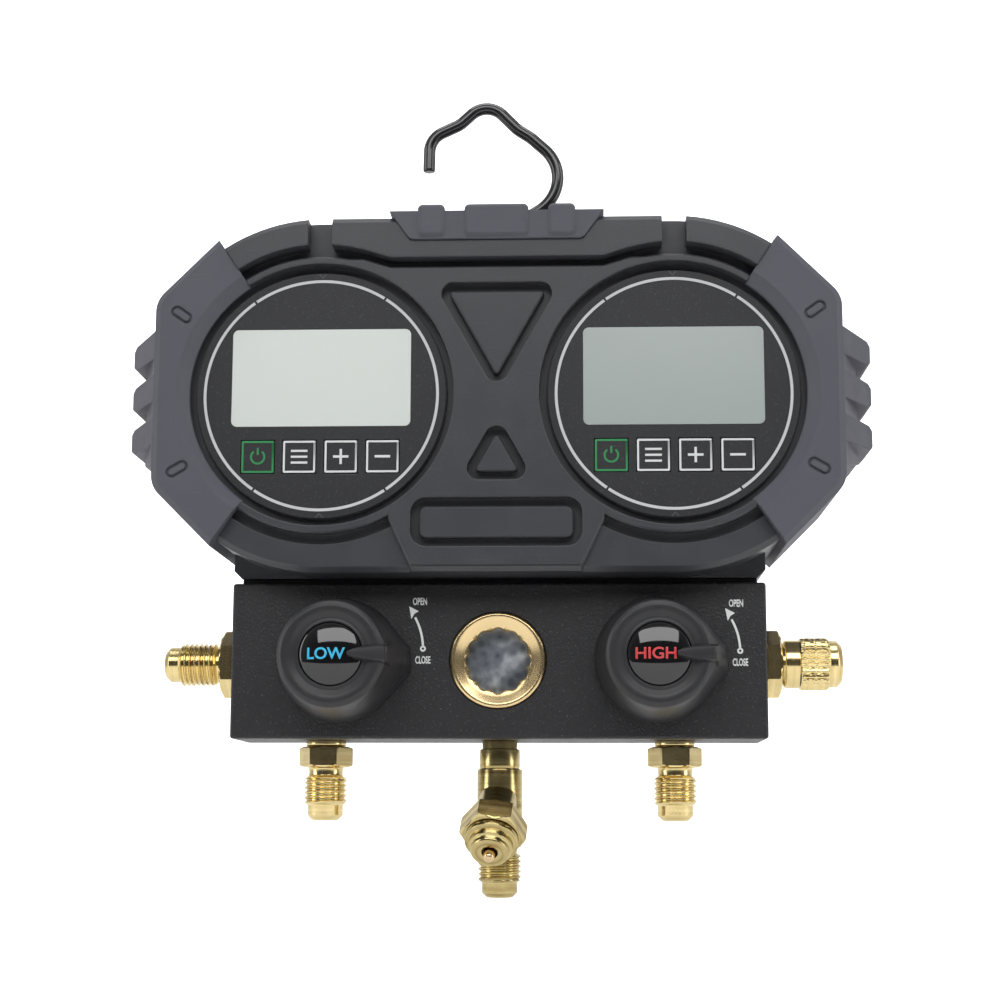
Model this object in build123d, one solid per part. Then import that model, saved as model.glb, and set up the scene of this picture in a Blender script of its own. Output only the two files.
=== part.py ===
from build123d import *
import math
import os

# Two-gauge digital refrigerant manifold, millimetres.
# X runs to the right, Y away from the user, Z up.  The set hangs on its hook: the
# origin is the hang point, on the hook's swivel axis, level with the underside of
# the hook's crown.  "low" parts are on the left (-X), "high" parts on the right.

LOW = -1
HIGH = 1
SIDES = (("low", LOW), ("high", HIGH))

# ---- hook: bent round wire that swivels in the top of the housing ----
wire_d = 3.25
# each bend of the wire, from the housing up: straight run, bend radius, turn in degrees
hook_bends = [
    (1.1, 4.5, -57),
    (9.7, 10.8, 105),
    (4.3, 9.0, 10),
    (2.5, 9.0, -12),
    (5.1, 6.0, 87),
    (3.0, 8.0, -18),
    (4.1, 6.0, 65),
]
hook_tip_run = 5.5
hook_nut_d = 8.0
hook_nut_h = 4.0
hook_nut_gap = 0.2
hook_tail = 2.0           # of the wire, below its nut
collar_d = 9.0
collar_flange_d = 12.0
collar_flange_t = 1.2

# ---- housing ----
dial_x = 44.65            # half the distance between the two gauges
lobe_r = 45.4             # outer radius of each end of the housing
core_r = 43.0             # radius of the housing under the bumpers
wall = 2.5
edge_bevel = 3.0          # bevel round the back, and round the land under the bumpers
pad_bevel = 1.4           # bevel round the front
back_y = 20.5
parting_y = -11.0         # where the front housing meets the rear cover
floor_y = -23.2           # seat of the dial overlay
field_y = -26.0           # front of the rims and of the field between the dials
upper_pad_y = -28.0
lower_pad_y = -24.2
trench_y = -22.2
land_y = -24.5            # seat of the bumpers' front lips
land_back_y = 18.0        # seat of the bumpers' rear lips
rim_r = 35.8
rim_bevel = 0.5
recess_r = 33.9
recess_groove = 1.2       # of the ring round the overlay's seat, below the seat
seat_r = 32.0             # radius of the overlay's seat
well_gap = 2.6            # trench between the rim and the pads
valley_x = 45.1
valley_w = 6.2
pad_level = 37.0          # heights and depths from the dial centres
pad_drop = 2.2            # the pads reach lower between these half widths
pad_drop_w = 27.0
pad_drop_foot = 34.0
field_gap = 1.9           # trench between the pads and the field
field_bottom = 44.2
field_foot_w = 21.4
field_waist_w = 26.9
field_waist_h = 32.6
field_shoulder_w = 38.0

# pockets of the field between the dials
pocket_groove_w = 2.2     # groove round each pocket's floor
pocket_groove_y = -23.0
pocket_floor_y = -25.4
pocket_edge = 0.4
big_triangle_w = 32.4
big_triangle_h = 29.0
big_triangle_top = 28.6
small_triangle_w = 19.0
small_triangle_h = 16.8
small_triangle_base = 22.4
pocket_corner = 3.0
slot_w = 43.0
slot_h = 12.4
slot_z = 33.0
slot_corner = 4.0

# neck that carries the housing on the block
neck_w = 136.0
neck_front_y = parting_y
neck_back_y = 11.0
neck_drop = lobe_r        # the neck's foot is level with the housing's lowest point
neck_corner = 2.0
neck_floor = 3.0
gasket_t = 1.5
gasket_inset = 2.0

# ---- bumpers ----
bumper_start = 123.5      # the bumper spans these directions about its dial
bumper_end = 235.0
bumper_front_y = -27.5
bumper_back_y = 22.0
bumper_spine = 42.5       # distances of the outer faces from the dial centre
bumper_over = 2.0         # of the upper slope beyond the housing's end
bumper_upper = lobe_r + bumper_over
bumper_lower = 46.8
bumper_corner = 7.0
bumper_edge = 1.7
bumper_lip_r = 33.0
bumper_bevel_r = 36.4
bumper_mouth = 3.3        # depth of the bevel inside the front lip
bumper_rear_lip_r = 36.0
band_out = 47.9           # raised band along the outer side
band_z = -1.6
band_half = 14.8
band_slope = 3.4
side_root = 2.0           # how deep the raised blocks start in the bumper
side_foot = 1.5           # from the bumper's front to the foot of a block's slope
side_toe = 1.0
side_crest_y = 9.0        # half depth of a raised block's crest
side_corner = 1.0
lug_out = 51.6
lug_count = 3
lug_pitch = 11.15
lug_len = 6.2
lug_z = 1.7
lug_slope = 0.5
oblong_w = 6.0
oblong_h = 3.0
oblong_line = 0.7         # width of the groove round a mark
oblong_depth = 0.6
oblong_marks = [(-35.5, 20.3, -35), (-35.6, -19.6, 30)]

# ---- grip on top ----
grip_top_w = 54.6
grip_bottom_w = 44.0
grip_corner = 2.0
grip_front_y = -28.7
grip_back_y = parting_y
grip_top = 1.3            # above the housing's top
grip_reach = 6.1          # down the front, from the housing's top
lump_rise = 1.6
lump_proud = 0.8
lumps = [(-16.6, 6.9), (0.0, 16.3), (16.6, 6.9)]
lump_corner = 1.3
lump_foot = 0.6           # from the grip's lower edge to a lump
lump_edge = 0.7
grip_front_t = 1.25       # of the grip in front of the housing's top

# ---- gauge heads ----
overlay_t = 0.8
overlay_gap = 0.2
lcd_w = 45.6
lcd_h = 25.2
lcd_z = 4.4
lcd_border = 2.2
lcd_gap = 0.1
window_corner = 1.5
key_size = 8.4
key_pitch = 10.55
key_count = 4
key_z = -16.0
key_gap = 0.15
key_travel = 0.25
key_rest_gap = 0.3
switch_r = 2.5
switch_h = 0.55
board_r = 31.0
board_t = 1.6
cell_d = 10.5
cell_l = 44.5
cell_gap = 0.4
cell_wall = 1.5
door_t = 2.0
door_lip = 2.0
door_gap = 0.1
housing_screws = [(12.0, 37.0), (12.0, -36.0), (74.5, 21.0), (74.5, -21.0)]
boss_r = 3.0
boss_floor = 1.0          # left at the blind end of a screw hole
screw_tip_gap = 1.0
screw_r = 1.4
screw_head_r = 2.6
screw_head_h = 1.8
screw_seat_depth = 6.0     # of the housing screws' heads, from the back
cover_screw_l = 6.0
cover_screw_head_h = 1.0

# ---- manifold block ----
block_w = 135.6
block_d = 27.0
block_h = 39.4
block_edge = 0.8
passage_r = 2.4
port_thread_r = 4.8       # pipe thread that holds the fittings in the block
port_thread_l = 8.0
port_drill = 2.0          # room past the end of a bottom fitting
mount_screws_x = [20.0, neck_w / 2 - 6.3]
mount_screw_r = 1.5
mount_screw_l = 11.0
sensor_x = neck_w / 2 - 18.0
sensor_hex = 14.0
sensor_hex_h = 5.0
sensor_can_r = 6.0
sensor_can_h = 12.0
sensor_gap = 0.3
fit = 0.05                # radial clearance of a running or threaded fit
through = 200.0           # longer than anything that a cutter passes through

# ---- valves ----
valve_x = 40.0
ball_r = 5.0
ball_bore_r = 2.2
ball_gap = 0.1
seat_ring_r = 4.5
seat_ring_in = 3.4        # the rings lie between these distances from the stem's axis
seat_ring_out = 6.9
stem_r = 3.0
stem_square = 4.2
stem_front = 10.0         # how far the square stands out of the block
stem_root = 4.0           # from the ball's centre to the foot of its shaft
stem_hole_l = 6.0
bonnet_r = 6.0
bonnet_inner_y = -5.4
ring_r = 0.5              # section radius of the stem's O-ring
ring_y = -9.5
knob_gap = 0.3
knob_base_r = 15.7
knob_front_r = 13.1
knob_h = 20.6
knob_base_h = 1.6
knob_edge = 1.2
knob_dish = 0.7
knob_rim = 1.2            # flat ring round the cap
knob_shoulder = 0.4       # the knob's side leans by this up to its last stretch
knob_shoulder_h = 3.0
knob_skirt_h = 2.0
knob_web = 3.0
knob_hub_r = 5.4
cap_r = 7.75
cap_gap = 0.1
cap_seat_depth = 2.4
cap_dome = 1.9
pointer_tip_r = 4.6
pointer_front_r = 14.4
pointer_base_r = 17.3
pointer_front_w = 3.4
pointer_base_w = 6.6
pointer_proud = 1.0
pointer_root = 6.0        # how far the pointer reaches into the knob
knob_screw_r = 1.25
knob_screw_head_r = 2.3
knob_screw_head_h = 1.5
knob_screw_l = 5.5
knob_screw_gap = 0.3

# ---- sight glass ----
glass_ring_r = 12.2
glass_ring_proud = 0.8
glass_ring_t = 4.8
glass_bore_r = 8.6
glass_star_r = 8.5
glass_star_in = 7.6
star_points = 12
lens_r = 9.3
lens_t = 3.0
glass_chamber_r = 7.0
glass_edge = 0.5
glass_rim = 1.2
glass_slope = 0.6         # fall of the ring's face towards the star
lens_gap = 0.05

# ---- flare fittings: 1/4 inch SAE flare, 7/16-20 thread ----
flare_r = 11.1 / 2
nose_r = 9.1 / 2
neck_r = 8.8 / 2
flare_bore_r = 2.4
side_hex = 15.0
side_hex_l = 4.5
side_neck_l = 1.3
low_thread_l = 9.6
high_thread_l = 8.0
side_thread_l = {LOW: low_thread_l, HIGH: high_thread_l}
nose_l = 2.6
nose_cone = 1.3
hose_x = 44.9
hose_collar_r = 10.3 / 2
hose_collar_l = 1.5
hose_hex = 12.0
hose_hex_l = 5.3
hose_neck_l = 2.5
hose_thread_l = 7.1
riser_offset = 3.9
riser_r = 1.8

# knurled cap on the high side port
cap_body_r = 13.4 / 2
cap_ring_r = 12.4 / 2
cap_end_r = 12.1 / 2
cap_clearance = 0.8       # between the port's hexagon and the cap
cap_ring_l = 3.9
cap_grip_l = 7.5
cap_end_l = 3.3
cap_bevel = 0.8
cap_thread_fit = 0.07
seal_t = 1.2
seal_r = 4.3
seal_seat = 0.05
hex_relief = 0.6          # share of a hexagon's corners that its chamfers take

# tee with an access valve
tee_r = 11.6 / 2
tee_collar_r = 10.4 / 2
tee_neck_r = 9.0 / 2
tee_neck_l = 2.2
tee_collar_l = 5.0
tee_relief_l = 4.0        # bare neck that the branch covers, above the thread
tee_thread_l = 4.6
tee_l = 39.6
branch_drop = 12.9
branch_angle = 45.0
branch_turn = 7.0
branch_neck_r = 5.0
branch_hex = 14.6
branch_hex_at = 10.2
branch_hex_l = 6.4
branch_flange_r = 13.6 / 2
branch_flange_l = 1.8
branch_thread_l = 1.8
branch_nose_r = 9.8 / 2
branch_nose_l = 1.7
branch_edge = 0.5
mouth_r = 1.95
core_r_in = 3.0
pin_r = 1.45
pin_out = 2.2
pin_travel = 1.5
pin_flange_r = 2.6
pin_flange_t = 0.8
pin_gap = 0.1
pin_edge = 0.3
spring_wire = 0.5
spring_r = 2.1
spring_turns = 4
spring_steps = 12         # straight pieces in one turn
spring_sides = 8
spring_end_gap = 0.15
lip_t = 1.5
pin_tail = 4.5            # from the back wall to the pin's tail
core_back = 6.5

# ---- levels worked out from the sizes above ----


def wire_path():
    """The hook's centre line in XZ, starting at the housing's top on the axis."""
    x = 0.0
    z = 0.0
    heading = 90.0
    edges = []
    for run, radius, turn in hook_bends + [(hook_tip_run, 0.0, 0.0)]:
        dx = math.cos(math.radians(heading))
        dz = math.sin(math.radians(heading))
        edges.append(Edge.make_line((x, 0, z), (x + run * dx, 0, z + run * dz)))
        x += run * dx
        z += run * dz
        if turn:
            side = math.copysign(1.0, turn)
            cx = x - side * radius * dz
            cz = z + side * radius * dx
            points = []
            for share in (0.5, 1.0):
                angle = math.radians(heading + share * turn)
                points.append((cx + side * radius * math.sin(angle), 0,
                               cz - side * radius * math.cos(angle)))
            edges.append(Edge.make_three_point_arc((x, 0, z), *points))
            x = points[1][0]
            z = points[1][2]
            heading += turn
    return Wire(edges)


hook_line = wire_path()
crown_rise = hook_line.bounding_box().max.Z
top_z = -(crown_rise - wire_d / 2)
dial_z = top_z - lobe_r
neck_z = dial_z - neck_drop
block_top_z = neck_z - gasket_t
axis_z = block_top_z - block_h / 2
block_bottom_z = block_top_z - block_h
block_front_y = -block_d / 2
overlay_y = floor_y - overlay_t
board_y = floor_y + wall
cell_floor_y = back_y - door_t - cell_d - cell_gap
door_screw_z = cell_d + 1.5 * cell_gap + door_lip + screw_head_r
screw_seat_y = back_y - screw_seat_depth

# ---- helpers ----


def slab(sketch, front, back):
    """Extrude a front-view sketch (x to the right, y up) between two depths."""
    return extrude(Plane.XZ.offset(-back) * sketch, back - front)


def turned(points):
    """Revolve a closed outline of (radius, height) points about Z."""
    return revolve(Plane.XZ * make_face(Polyline(*points, close=True)), Axis.Z)


def hexagon(across, length):
    """A hexagon bar along Z with its corners taken off at both ends."""
    corner = across / math.sqrt(3)
    relief = corner - across / 2
    bar = extrude(RegularPolygon(across / 2, 6, major_radius=False), length)
    trim = turned([(0, 0), (across / 2, 0), (corner, relief * hex_relief),
                   (corner, length - relief * hex_relief), (across / 2, length), (0, length)])
    return bar & trim


def front_edges(solid):
    return solid.faces().sort_by(Axis.Y)[0].outer_wire().edges()


def back_edges(solid):
    return solid.faces().sort_by(Axis.Y)[-1].outer_wire().edges()


def at_front(x, z, y=block_front_y):
    """Place a part built along +Z so that it points to the user."""
    return Pos(x, y, z) * Rotation(90, 0, 0)


def at_end(side):
    """Place a part built along +Z so that it points out of one end of the block."""
    return Pos(side * block_w / 2, 0, axis_z) * Rotation(0, side * 90, 0)


def at_bottom(x):
    """Place a part built along +Z so that it points down from the block."""
    return Pos(x, 0, block_bottom_z) * Rotation(180, 0, 0)


def stadium(radius):
    return Pos(0, dial_z) * SlotCenterToCenter(2 * dial_x, 2 * radius)


def dials(shape):
    """The same front-view shape on both gauges."""
    return Pos(-dial_x, dial_z) * shape + Pos(dial_x, dial_z) * shape


def outline(points, corner):
    """A closed polygon with rounded corners."""
    face = make_face(Polyline(*points, close=True))
    return fillet(face.vertices(), corner)


def save(name, shape):
    os.makedirs("parts", exist_ok=True)
    export_step(shape, "parts/" + name + ".step")


# ---- hook ----


def hook():
    stem = Edge.make_line((0, 0, -wall - hook_nut_h - hook_tail), (0, 0, 0))
    line = Wire([stem] + list(hook_line.edges()))
    start = Plane(origin=line @ 0, z_dir=line % 0)
    wire = sweep(start * Circle(wire_d / 2), path=line)
    return Pos(0, 0, top_z) * wire


def hook_nut():
    nut = hexagon(hook_nut_d, hook_nut_h) - Cylinder(wire_d / 2, through)
    return Pos(0, 0, top_z - wall - collar_flange_t - hook_nut_gap - hook_nut_h) * nut


def hook_collar():
    height = wall + collar_flange_t
    body = turned([(0, 0), (collar_flange_d / 2, 0), (collar_flange_d / 2, collar_flange_t),
                   (collar_d / 2, collar_flange_t), (collar_d / 2, height), (0, height)])
    return Pos(0, 0, top_z - height) * (body - Cylinder(wire_d / 2 + fit, through))


# ---- housing ----


def core():
    """The envelope of the housing under the bumpers."""
    body = slab(stadium(core_r), land_y, land_back_y)
    body = chamfer(front_edges(body), edge_bevel)
    return chamfer(back_edges(body), edge_bevel)


def bumper_sector():
    """Front-view wedge that one bumper covers, on the low side."""
    reach = 2 * lobe_r
    points = [(0, 0)]
    for angle in (bumper_start, 180, bumper_end):
        a = math.radians(angle)
        points.append((reach * math.cos(a), reach * math.sin(a)))
    return Pos(-dial_x, dial_z) * make_face(Polyline(*points, close=True))


def bumper_room():
    """What the bumpers take from the housing."""
    one = slab(bumper_sector(), 2 * bumper_front_y, 2 * bumper_back_y)
    return one + mirror(one, Plane.YZ) - core()


def grip_face():
    """Front view of the grip, drawn from the housing's top."""
    top = grip_top_w / 2
    bottom = grip_bottom_w / 2
    points = [(-top, grip_top), (-bottom, -grip_reach), (bottom, -grip_reach), (top, grip_top)]
    return Pos(0, top_z) * make_face(Polyline(*points, close=True))


def grip_room():
    """The step in the housing that the grip sits on."""
    bite = slab(grip_face(), 2 * upper_pad_y, grip_back_y)
    shelf = top_z - wall
    keep = Pos(0, 0, shelf - lobe_r) * Box(4 * dial_x, through, 2 * lobe_r)
    front = slab(grip_face(), 2 * upper_pad_y, upper_pad_y + grip_front_t)
    return (bite - keep) + front


def rounded_triangle(width, height, up):
    tip = height if up else -height
    return outline([(-width / 2, 0), (width / 2, 0), (0, tip)], pocket_corner)


def pocket(sketch, z):
    """Cutter for a sunk floor with a deeper groove round it, in the field between the dials."""
    place = Pos(0, z)
    mouth = slab(place * sketch, 2 * field_y, pocket_groove_y)
    island = slab(place * offset(sketch, -pocket_groove_w), pocket_floor_y, pocket_groove_y)
    island = chamfer(front_edges(island), pocket_edge)
    return mouth - island


def upper_line(drop):
    """The pads' lower line over the field, `drop` below their level, from left to right."""
    high = pad_level - drop
    low = high - pad_drop
    return [(-field_shoulder_w, high), (-pad_drop_foot, high), (-pad_drop_w, low),
            (pad_drop_w, low), (pad_drop_foot, high), (field_shoulder_w, high)]


def field_sketch():
    foot = -field_bottom
    points = [(field_waist_w, -field_waist_h), (field_foot_w, foot), (-field_foot_w, foot),
              (-field_waist_w, -field_waist_h)] + upper_line(field_gap)
    return dials(Circle(rim_r)) + Pos(0, dial_z) * make_face(Polyline(*points, close=True))


def well_sketch():
    """Where the upper pads stop, round the rims and over the field."""
    points = [(field_shoulder_w, 0), (-field_shoulder_w, 0)] + upper_line(0)
    over = Pos(0, dial_z) * make_face(Polyline(*points, close=True))
    return dials(Circle(rim_r + well_gap)) + over


def boss_places():
    return [(side * x, z) for x, z in housing_screws for side in (LOW, HIGH)]


def front_housing():
    upper_half = Pos(0, 0, dial_z + lobe_r) * Box(8 * dial_x, through, 2 * lobe_r)
    upper = slab(stadium(lobe_r), upper_pad_y, parting_y)
    upper = chamfer(front_edges(upper), pad_bevel) & upper_half
    lower = slab(stadium(lobe_r), lower_pad_y, parting_y)
    lower = chamfer(front_edges(lower), pad_bevel) - upper_half
    upper -= slab(well_sketch(), 2 * upper_pad_y, trench_y)
    valley = Pos(0, dial_z + lobe_r) * Rectangle(valley_w, 2 * lobe_r)
    for side in (LOW, HIGH):
        upper -= slab(Pos(side * valley_x, 0) * valley, 2 * upper_pad_y, trench_y)
    lower -= slab(dials(Circle(rim_r + well_gap)), 2 * upper_pad_y, trench_y)
    field = slab(field_sketch(), field_y, parting_y)
    body = upper + lower + chamfer(front_edges(field), rim_bevel)
    slope_h = lobe_r - field_bottom
    slope = [(field_y, -field_bottom), (field_y + slope_h, -lobe_r),
             (parting_y, -lobe_r), (parting_y, -field_bottom)]
    toe = extrude(Plane.YZ * make_face(Polyline(*slope, close=True)), field_foot_w, both=True)
    body += Pos(0, 0, dial_z) * toe
    body -= bumper_room()
    body -= grip_room()
    for side in (LOW, HIGH):
        recess = turned([(0, 0), (seat_r, 0), (seat_r, -recess_groove),
                         (recess_r, -recess_groove), (recess_r, through), (0, through)])
        body -= at_front(side * dial_x, dial_z, floor_y) * recess
    body -= pocket(rounded_triangle(big_triangle_w, big_triangle_h, False), dial_z + big_triangle_top)
    body -= pocket(rounded_triangle(small_triangle_w, small_triangle_h, True),
                   dial_z - small_triangle_base)
    body -= pocket(fillet(Rectangle(slot_w, slot_h).vertices(), slot_corner), dial_z - slot_z)
    body -= slab(stadium(core_r - wall), board_y, parting_y)
    for x, z in boss_places():
        body += slab(Pos(x, dial_z + z) * Circle(boss_r), board_y, parting_y)
        body -= slab(Pos(x, dial_z + z) * Circle(screw_r), board_y + boss_floor, parting_y)
    openings = Pos(0, lcd_z) * Rectangle(lcd_w + 2 * lcd_border + 2 * lcd_gap,
                                         lcd_h + 2 * lcd_border + 2 * lcd_gap)
    for x in key_places():
        openings += Pos(x, key_z) * Rectangle(key_size + 2 * key_gap, key_size + 2 * key_gap)
    return body - slab(dials(openings), 2 * floor_y, 0)


def neck():
    points = [(-neck_w / 2, 0), (-neck_w / 2, -neck_drop), (neck_w / 2, -neck_drop), (neck_w / 2, 0)]
    face = make_face(Polyline(*points, close=True))
    face = chamfer(face.vertices().group_by(Axis.Y)[0], neck_corner)
    return slab(Pos(0, dial_z) * face, neck_front_y, neck_back_y)


def door_sketch(gap=0.0):
    """Front view of a battery cover: a plate with a round tab for its screw."""
    width = cell_l + 2 * cell_gap + 2 * door_lip + 2 * gap
    height = 2 * cell_d + 3 * cell_gap + 2 * door_lip + 2 * gap
    plate = fillet(Rectangle(width, height).vertices(), window_corner)
    return plate + Pos(0, door_screw_z) * Circle(screw_head_r + 1 + gap)


def cell_pocket(extra=0.0):
    width = cell_l + 2 * cell_gap + 2 * extra
    height = 2 * cell_d + 3 * cell_gap + 2 * extra
    return Rectangle(width, height)


def rear_cover():
    body = slab(stadium(lobe_r), parting_y, back_y)
    body = chamfer(back_edges(body), edge_bevel) + neck()
    body -= slab(stadium(core_r - wall), parting_y, land_back_y - wall)
    inside = Rectangle(neck_w - 2 * wall, neck_drop - neck_floor, align=(Align.CENTER, Align.MAX))
    body -= slab(Pos(0, dial_z) * inside, neck_front_y + wall, neck_back_y - wall)
    body -= bumper_room()
    for side in (LOW, HIGH):
        place = Pos(side * dial_x, dial_z)
        body += slab(place * cell_pocket(cell_wall), cell_floor_y - cell_wall, land_back_y)
        body -= slab(place * cell_pocket(), cell_floor_y, back_y)
        body -= slab(place * door_sketch(door_gap), back_y - door_t, back_y)
        tap = place * Pos(0, door_screw_z)
        body += slab(tap * Circle(boss_r), back_y - door_t - cover_screw_l, land_back_y)
        body -= slab(tap * Circle(screw_r), back_y - door_t - cover_screw_l + boss_floor, back_y)
    for x, z in boss_places():
        body += slab(Pos(x, dial_z + z) * Circle(boss_r), parting_y, land_back_y)
        body -= slab(Pos(x, dial_z + z) * Circle(screw_r + fit), parting_y, back_y)
        body -= slab(Pos(x, dial_z + z) * Circle(screw_head_r + fit), screw_seat_y, back_y)
    body -= Pos(0, 0, top_z) * Cylinder(collar_d / 2, 4 * wall)
    body -= upright(collar_flange_d / 2 + 1, 0, dial_z, top_z - wall)
    for side in (LOW, HIGH):
        room = sensor_hex / math.sqrt(3) + sensor_gap
        body -= Pos(side * sensor_x, 0, neck_z) * Cylinder(room, 4 * neck_floor)
        for x in mount_screws_x:
            body -= Pos(side * x, 0, neck_z) * Cylinder(mount_screw_r + fit, 4 * neck_floor)
    return body


# ---- bumpers and grip ----


def bumper_outline():
    """Front view of the low-side bumper, about its dial centre."""
    a = math.radians(bumper_start)
    b = math.radians(bumper_end)
    diagonal = math.sqrt(2)
    start_r = bumper_upper / math.cos(a - math.radians(135))
    end_r = bumper_lower / math.cos(b - math.radians(225))
    points = [
        (0, 0),
        (start_r * math.cos(a), start_r * math.sin(a)),
        (-bumper_spine, bumper_upper * diagonal - bumper_spine),
        (-bumper_spine, bumper_spine - bumper_lower * diagonal),
        (end_r * math.cos(b), end_r * math.sin(b)),
    ]
    face = make_face(Polyline(*points, close=True))
    return fillet(face.vertices().sort_by(Axis.X)[0:2], bumper_corner)


def side_block(out, centre, half, slope):
    """A raised block on the bumper's side that slopes up to its crest from all round."""
    root = bumper_spine - side_root
    inner = out - side_corner
    crest = half - side_corner
    face = make_face(Polyline((-root, centre + half + slope), (-inner, centre + half),
                              (-out, centre + crest), (-out, centre - crest),
                              (-inner, centre - half), (-root, centre - half - slope), close=True))
    front = bumper_front_y + side_foot
    back = bumper_back_y - side_foot
    plan = make_face(Polyline((-root, front - side_toe), (-bumper_spine, front),
                              (-out, -side_crest_y), (-out, side_crest_y),
                              (-bumper_spine, back), (-root, back + side_toe), close=True))
    bar = extrude(Plane.XZ * face, through, both=True)
    return bar & extrude(Plane.XY * plan, through, both=True)


def bumper():
    body = extrude(Plane.XZ.offset(-bumper_back_y) * bumper_outline(), bumper_back_y - bumper_front_y)
    body = chamfer(front_edges(body).filter_by(lambda e: e.center().X < -bumper_lip_r / 2), bumper_edge)
    body = chamfer(back_edges(body).filter_by(lambda e: e.center().X < -bumper_lip_r / 2), bumper_edge)
    body += side_block(band_out, band_z, band_half, band_slope)
    for index in range(lug_count):
        z = lug_z + (index - (lug_count - 1) / 2) * lug_pitch
        body += side_block(lug_out, z, lug_len / 2, lug_slope)
    mouth = turned([(0, -1), (bumper_lip_r, -1), (bumper_lip_r, 0),
                    (bumper_bevel_r, bumper_mouth), (bumper_bevel_r, through), (0, through)])
    body -= Pos(0, bumper_front_y + bumper_mouth, 0) * Rotation(90, 0, 0) * mouth
    rear = 3 * (bumper_back_y - land_back_y)
    body -= Pos(0, bumper_back_y, 0) * Rotation(90, 0, 0) * Cylinder(bumper_rear_lip_r, rear)
    for x, z, angle in oblong_marks:
        mark = SlotOverall(oblong_w, oblong_h)
        mark -= SlotOverall(oblong_w - 2 * oblong_line, oblong_h - 2 * oblong_line)
        mark = Pos(x, z) * Rotation(0, 0, angle) * mark
        body -= slab(mark, 2 * bumper_front_y, bumper_front_y + oblong_depth)
    return Pos(-dial_x, 0, dial_z) * body - core()


def top_grip():
    face = grip_face()
    face = fillet(face.vertices().group_by(Axis.Y)[0], grip_corner)
    body = slab(face, grip_front_y, grip_back_y)
    for x, width in lumps:
        foot = top_z - grip_reach + lump_foot
        height = grip_top + lump_rise + grip_reach - lump_foot
        lump = Pos(x, foot + height / 2) * fillet(Rectangle(width, height).vertices(), lump_corner)
        block = slab(lump, grip_front_y - lump_proud, grip_back_y)
        body += chamfer(front_edges(block), lump_edge)
    inner = slab(Pos(0, top_z) * Rectangle(2 * grip_top_w, 4 * lobe_r, align=(Align.CENTER, Align.MAX)),
                 upper_pad_y + grip_front_t, grip_back_y)
    shelf = Pos(0, 0, -wall) * inner
    return body - shelf


# ---- gauge heads ----


def key_places():
    return [(index - (key_count - 1) / 2) * key_pitch for index in range(key_count)]


def window_sketch():
    return Pos(0, lcd_z) * fillet(Rectangle(lcd_w, lcd_h).vertices(), window_corner)


def overlay():
    face = Circle(seat_r - overlay_gap) - window_sketch()
    for x in key_places():
        face -= Pos(x, key_z) * Rectangle(key_size + 2 * key_gap, key_size + 2 * key_gap)
    return slab(face, overlay_y, floor_y)


def window():
    return slab(window_sketch(), overlay_y, floor_y)


def lcd():
    face = Pos(0, lcd_z) * Rectangle(lcd_w + 2 * lcd_border, lcd_h + 2 * lcd_border)
    return slab(face, floor_y, board_y)


def board():
    return slab(Circle(board_r), board_y, board_y + board_t)


def key(x):
    back = board_y - switch_h - key_rest_gap
    return slab(Pos(x, key_z) * Rectangle(key_size, key_size), overlay_y, back)


def switches():
    return [slab(Pos(x, key_z) * Circle(switch_r), board_y - switch_h, board_y) for x in key_places()]


def cells():
    y = back_y - door_t - cell_d / 2
    lift = cell_d / 2 + cell_gap / 2
    lying = Pos(0, y, 0) * Rotation(0, 90, 0) * Cylinder(cell_d / 2, cell_l)
    return [Pos(0, 0, lift) * lying, Pos(0, 0, -lift) * lying]


def battery_cover():
    door = slab(door_sketch(), back_y - door_t, back_y)
    door -= slab(Pos(0, door_screw_z) * Circle(screw_r + fit), back_y - door_t, back_y)
    head = Pos(0, door_screw_z) * Circle(screw_head_r + fit)
    return door - slab(head, back_y - cover_screw_head_h, back_y)


def cover_screw():
    seat = back_y - cover_screw_head_h
    shank = slab(Pos(0, door_screw_z) * Circle(screw_r), seat - cover_screw_l, seat)
    return shank + slab(Pos(0, door_screw_z) * Circle(screw_head_r), seat, back_y)


# ---- block ----


def gasket():
    face = Rectangle(neck_w - 2 * gasket_inset, neck_back_y - neck_front_y - 2 * gasket_inset)
    for side in (LOW, HIGH):
        face -= Pos(side * sensor_x, 0) * Circle(sensor_hex / math.sqrt(3) + sensor_gap)
        for x in mount_screws_x:
            face -= Pos(side * x, 0) * Circle(mount_screw_r + fit)
    return Pos(0, 0, block_top_z) * extrude(face, gasket_t)


def along_x(radius, x0, x1):
    return Pos((x0 + x1) / 2, 0, axis_z) * Rotation(0, 90, 0) * Cylinder(radius, x1 - x0)


def upright(radius, x, z0, z1):
    return Pos(x, 0, (z0 + z1) / 2) * Cylinder(radius, z1 - z0)


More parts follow.
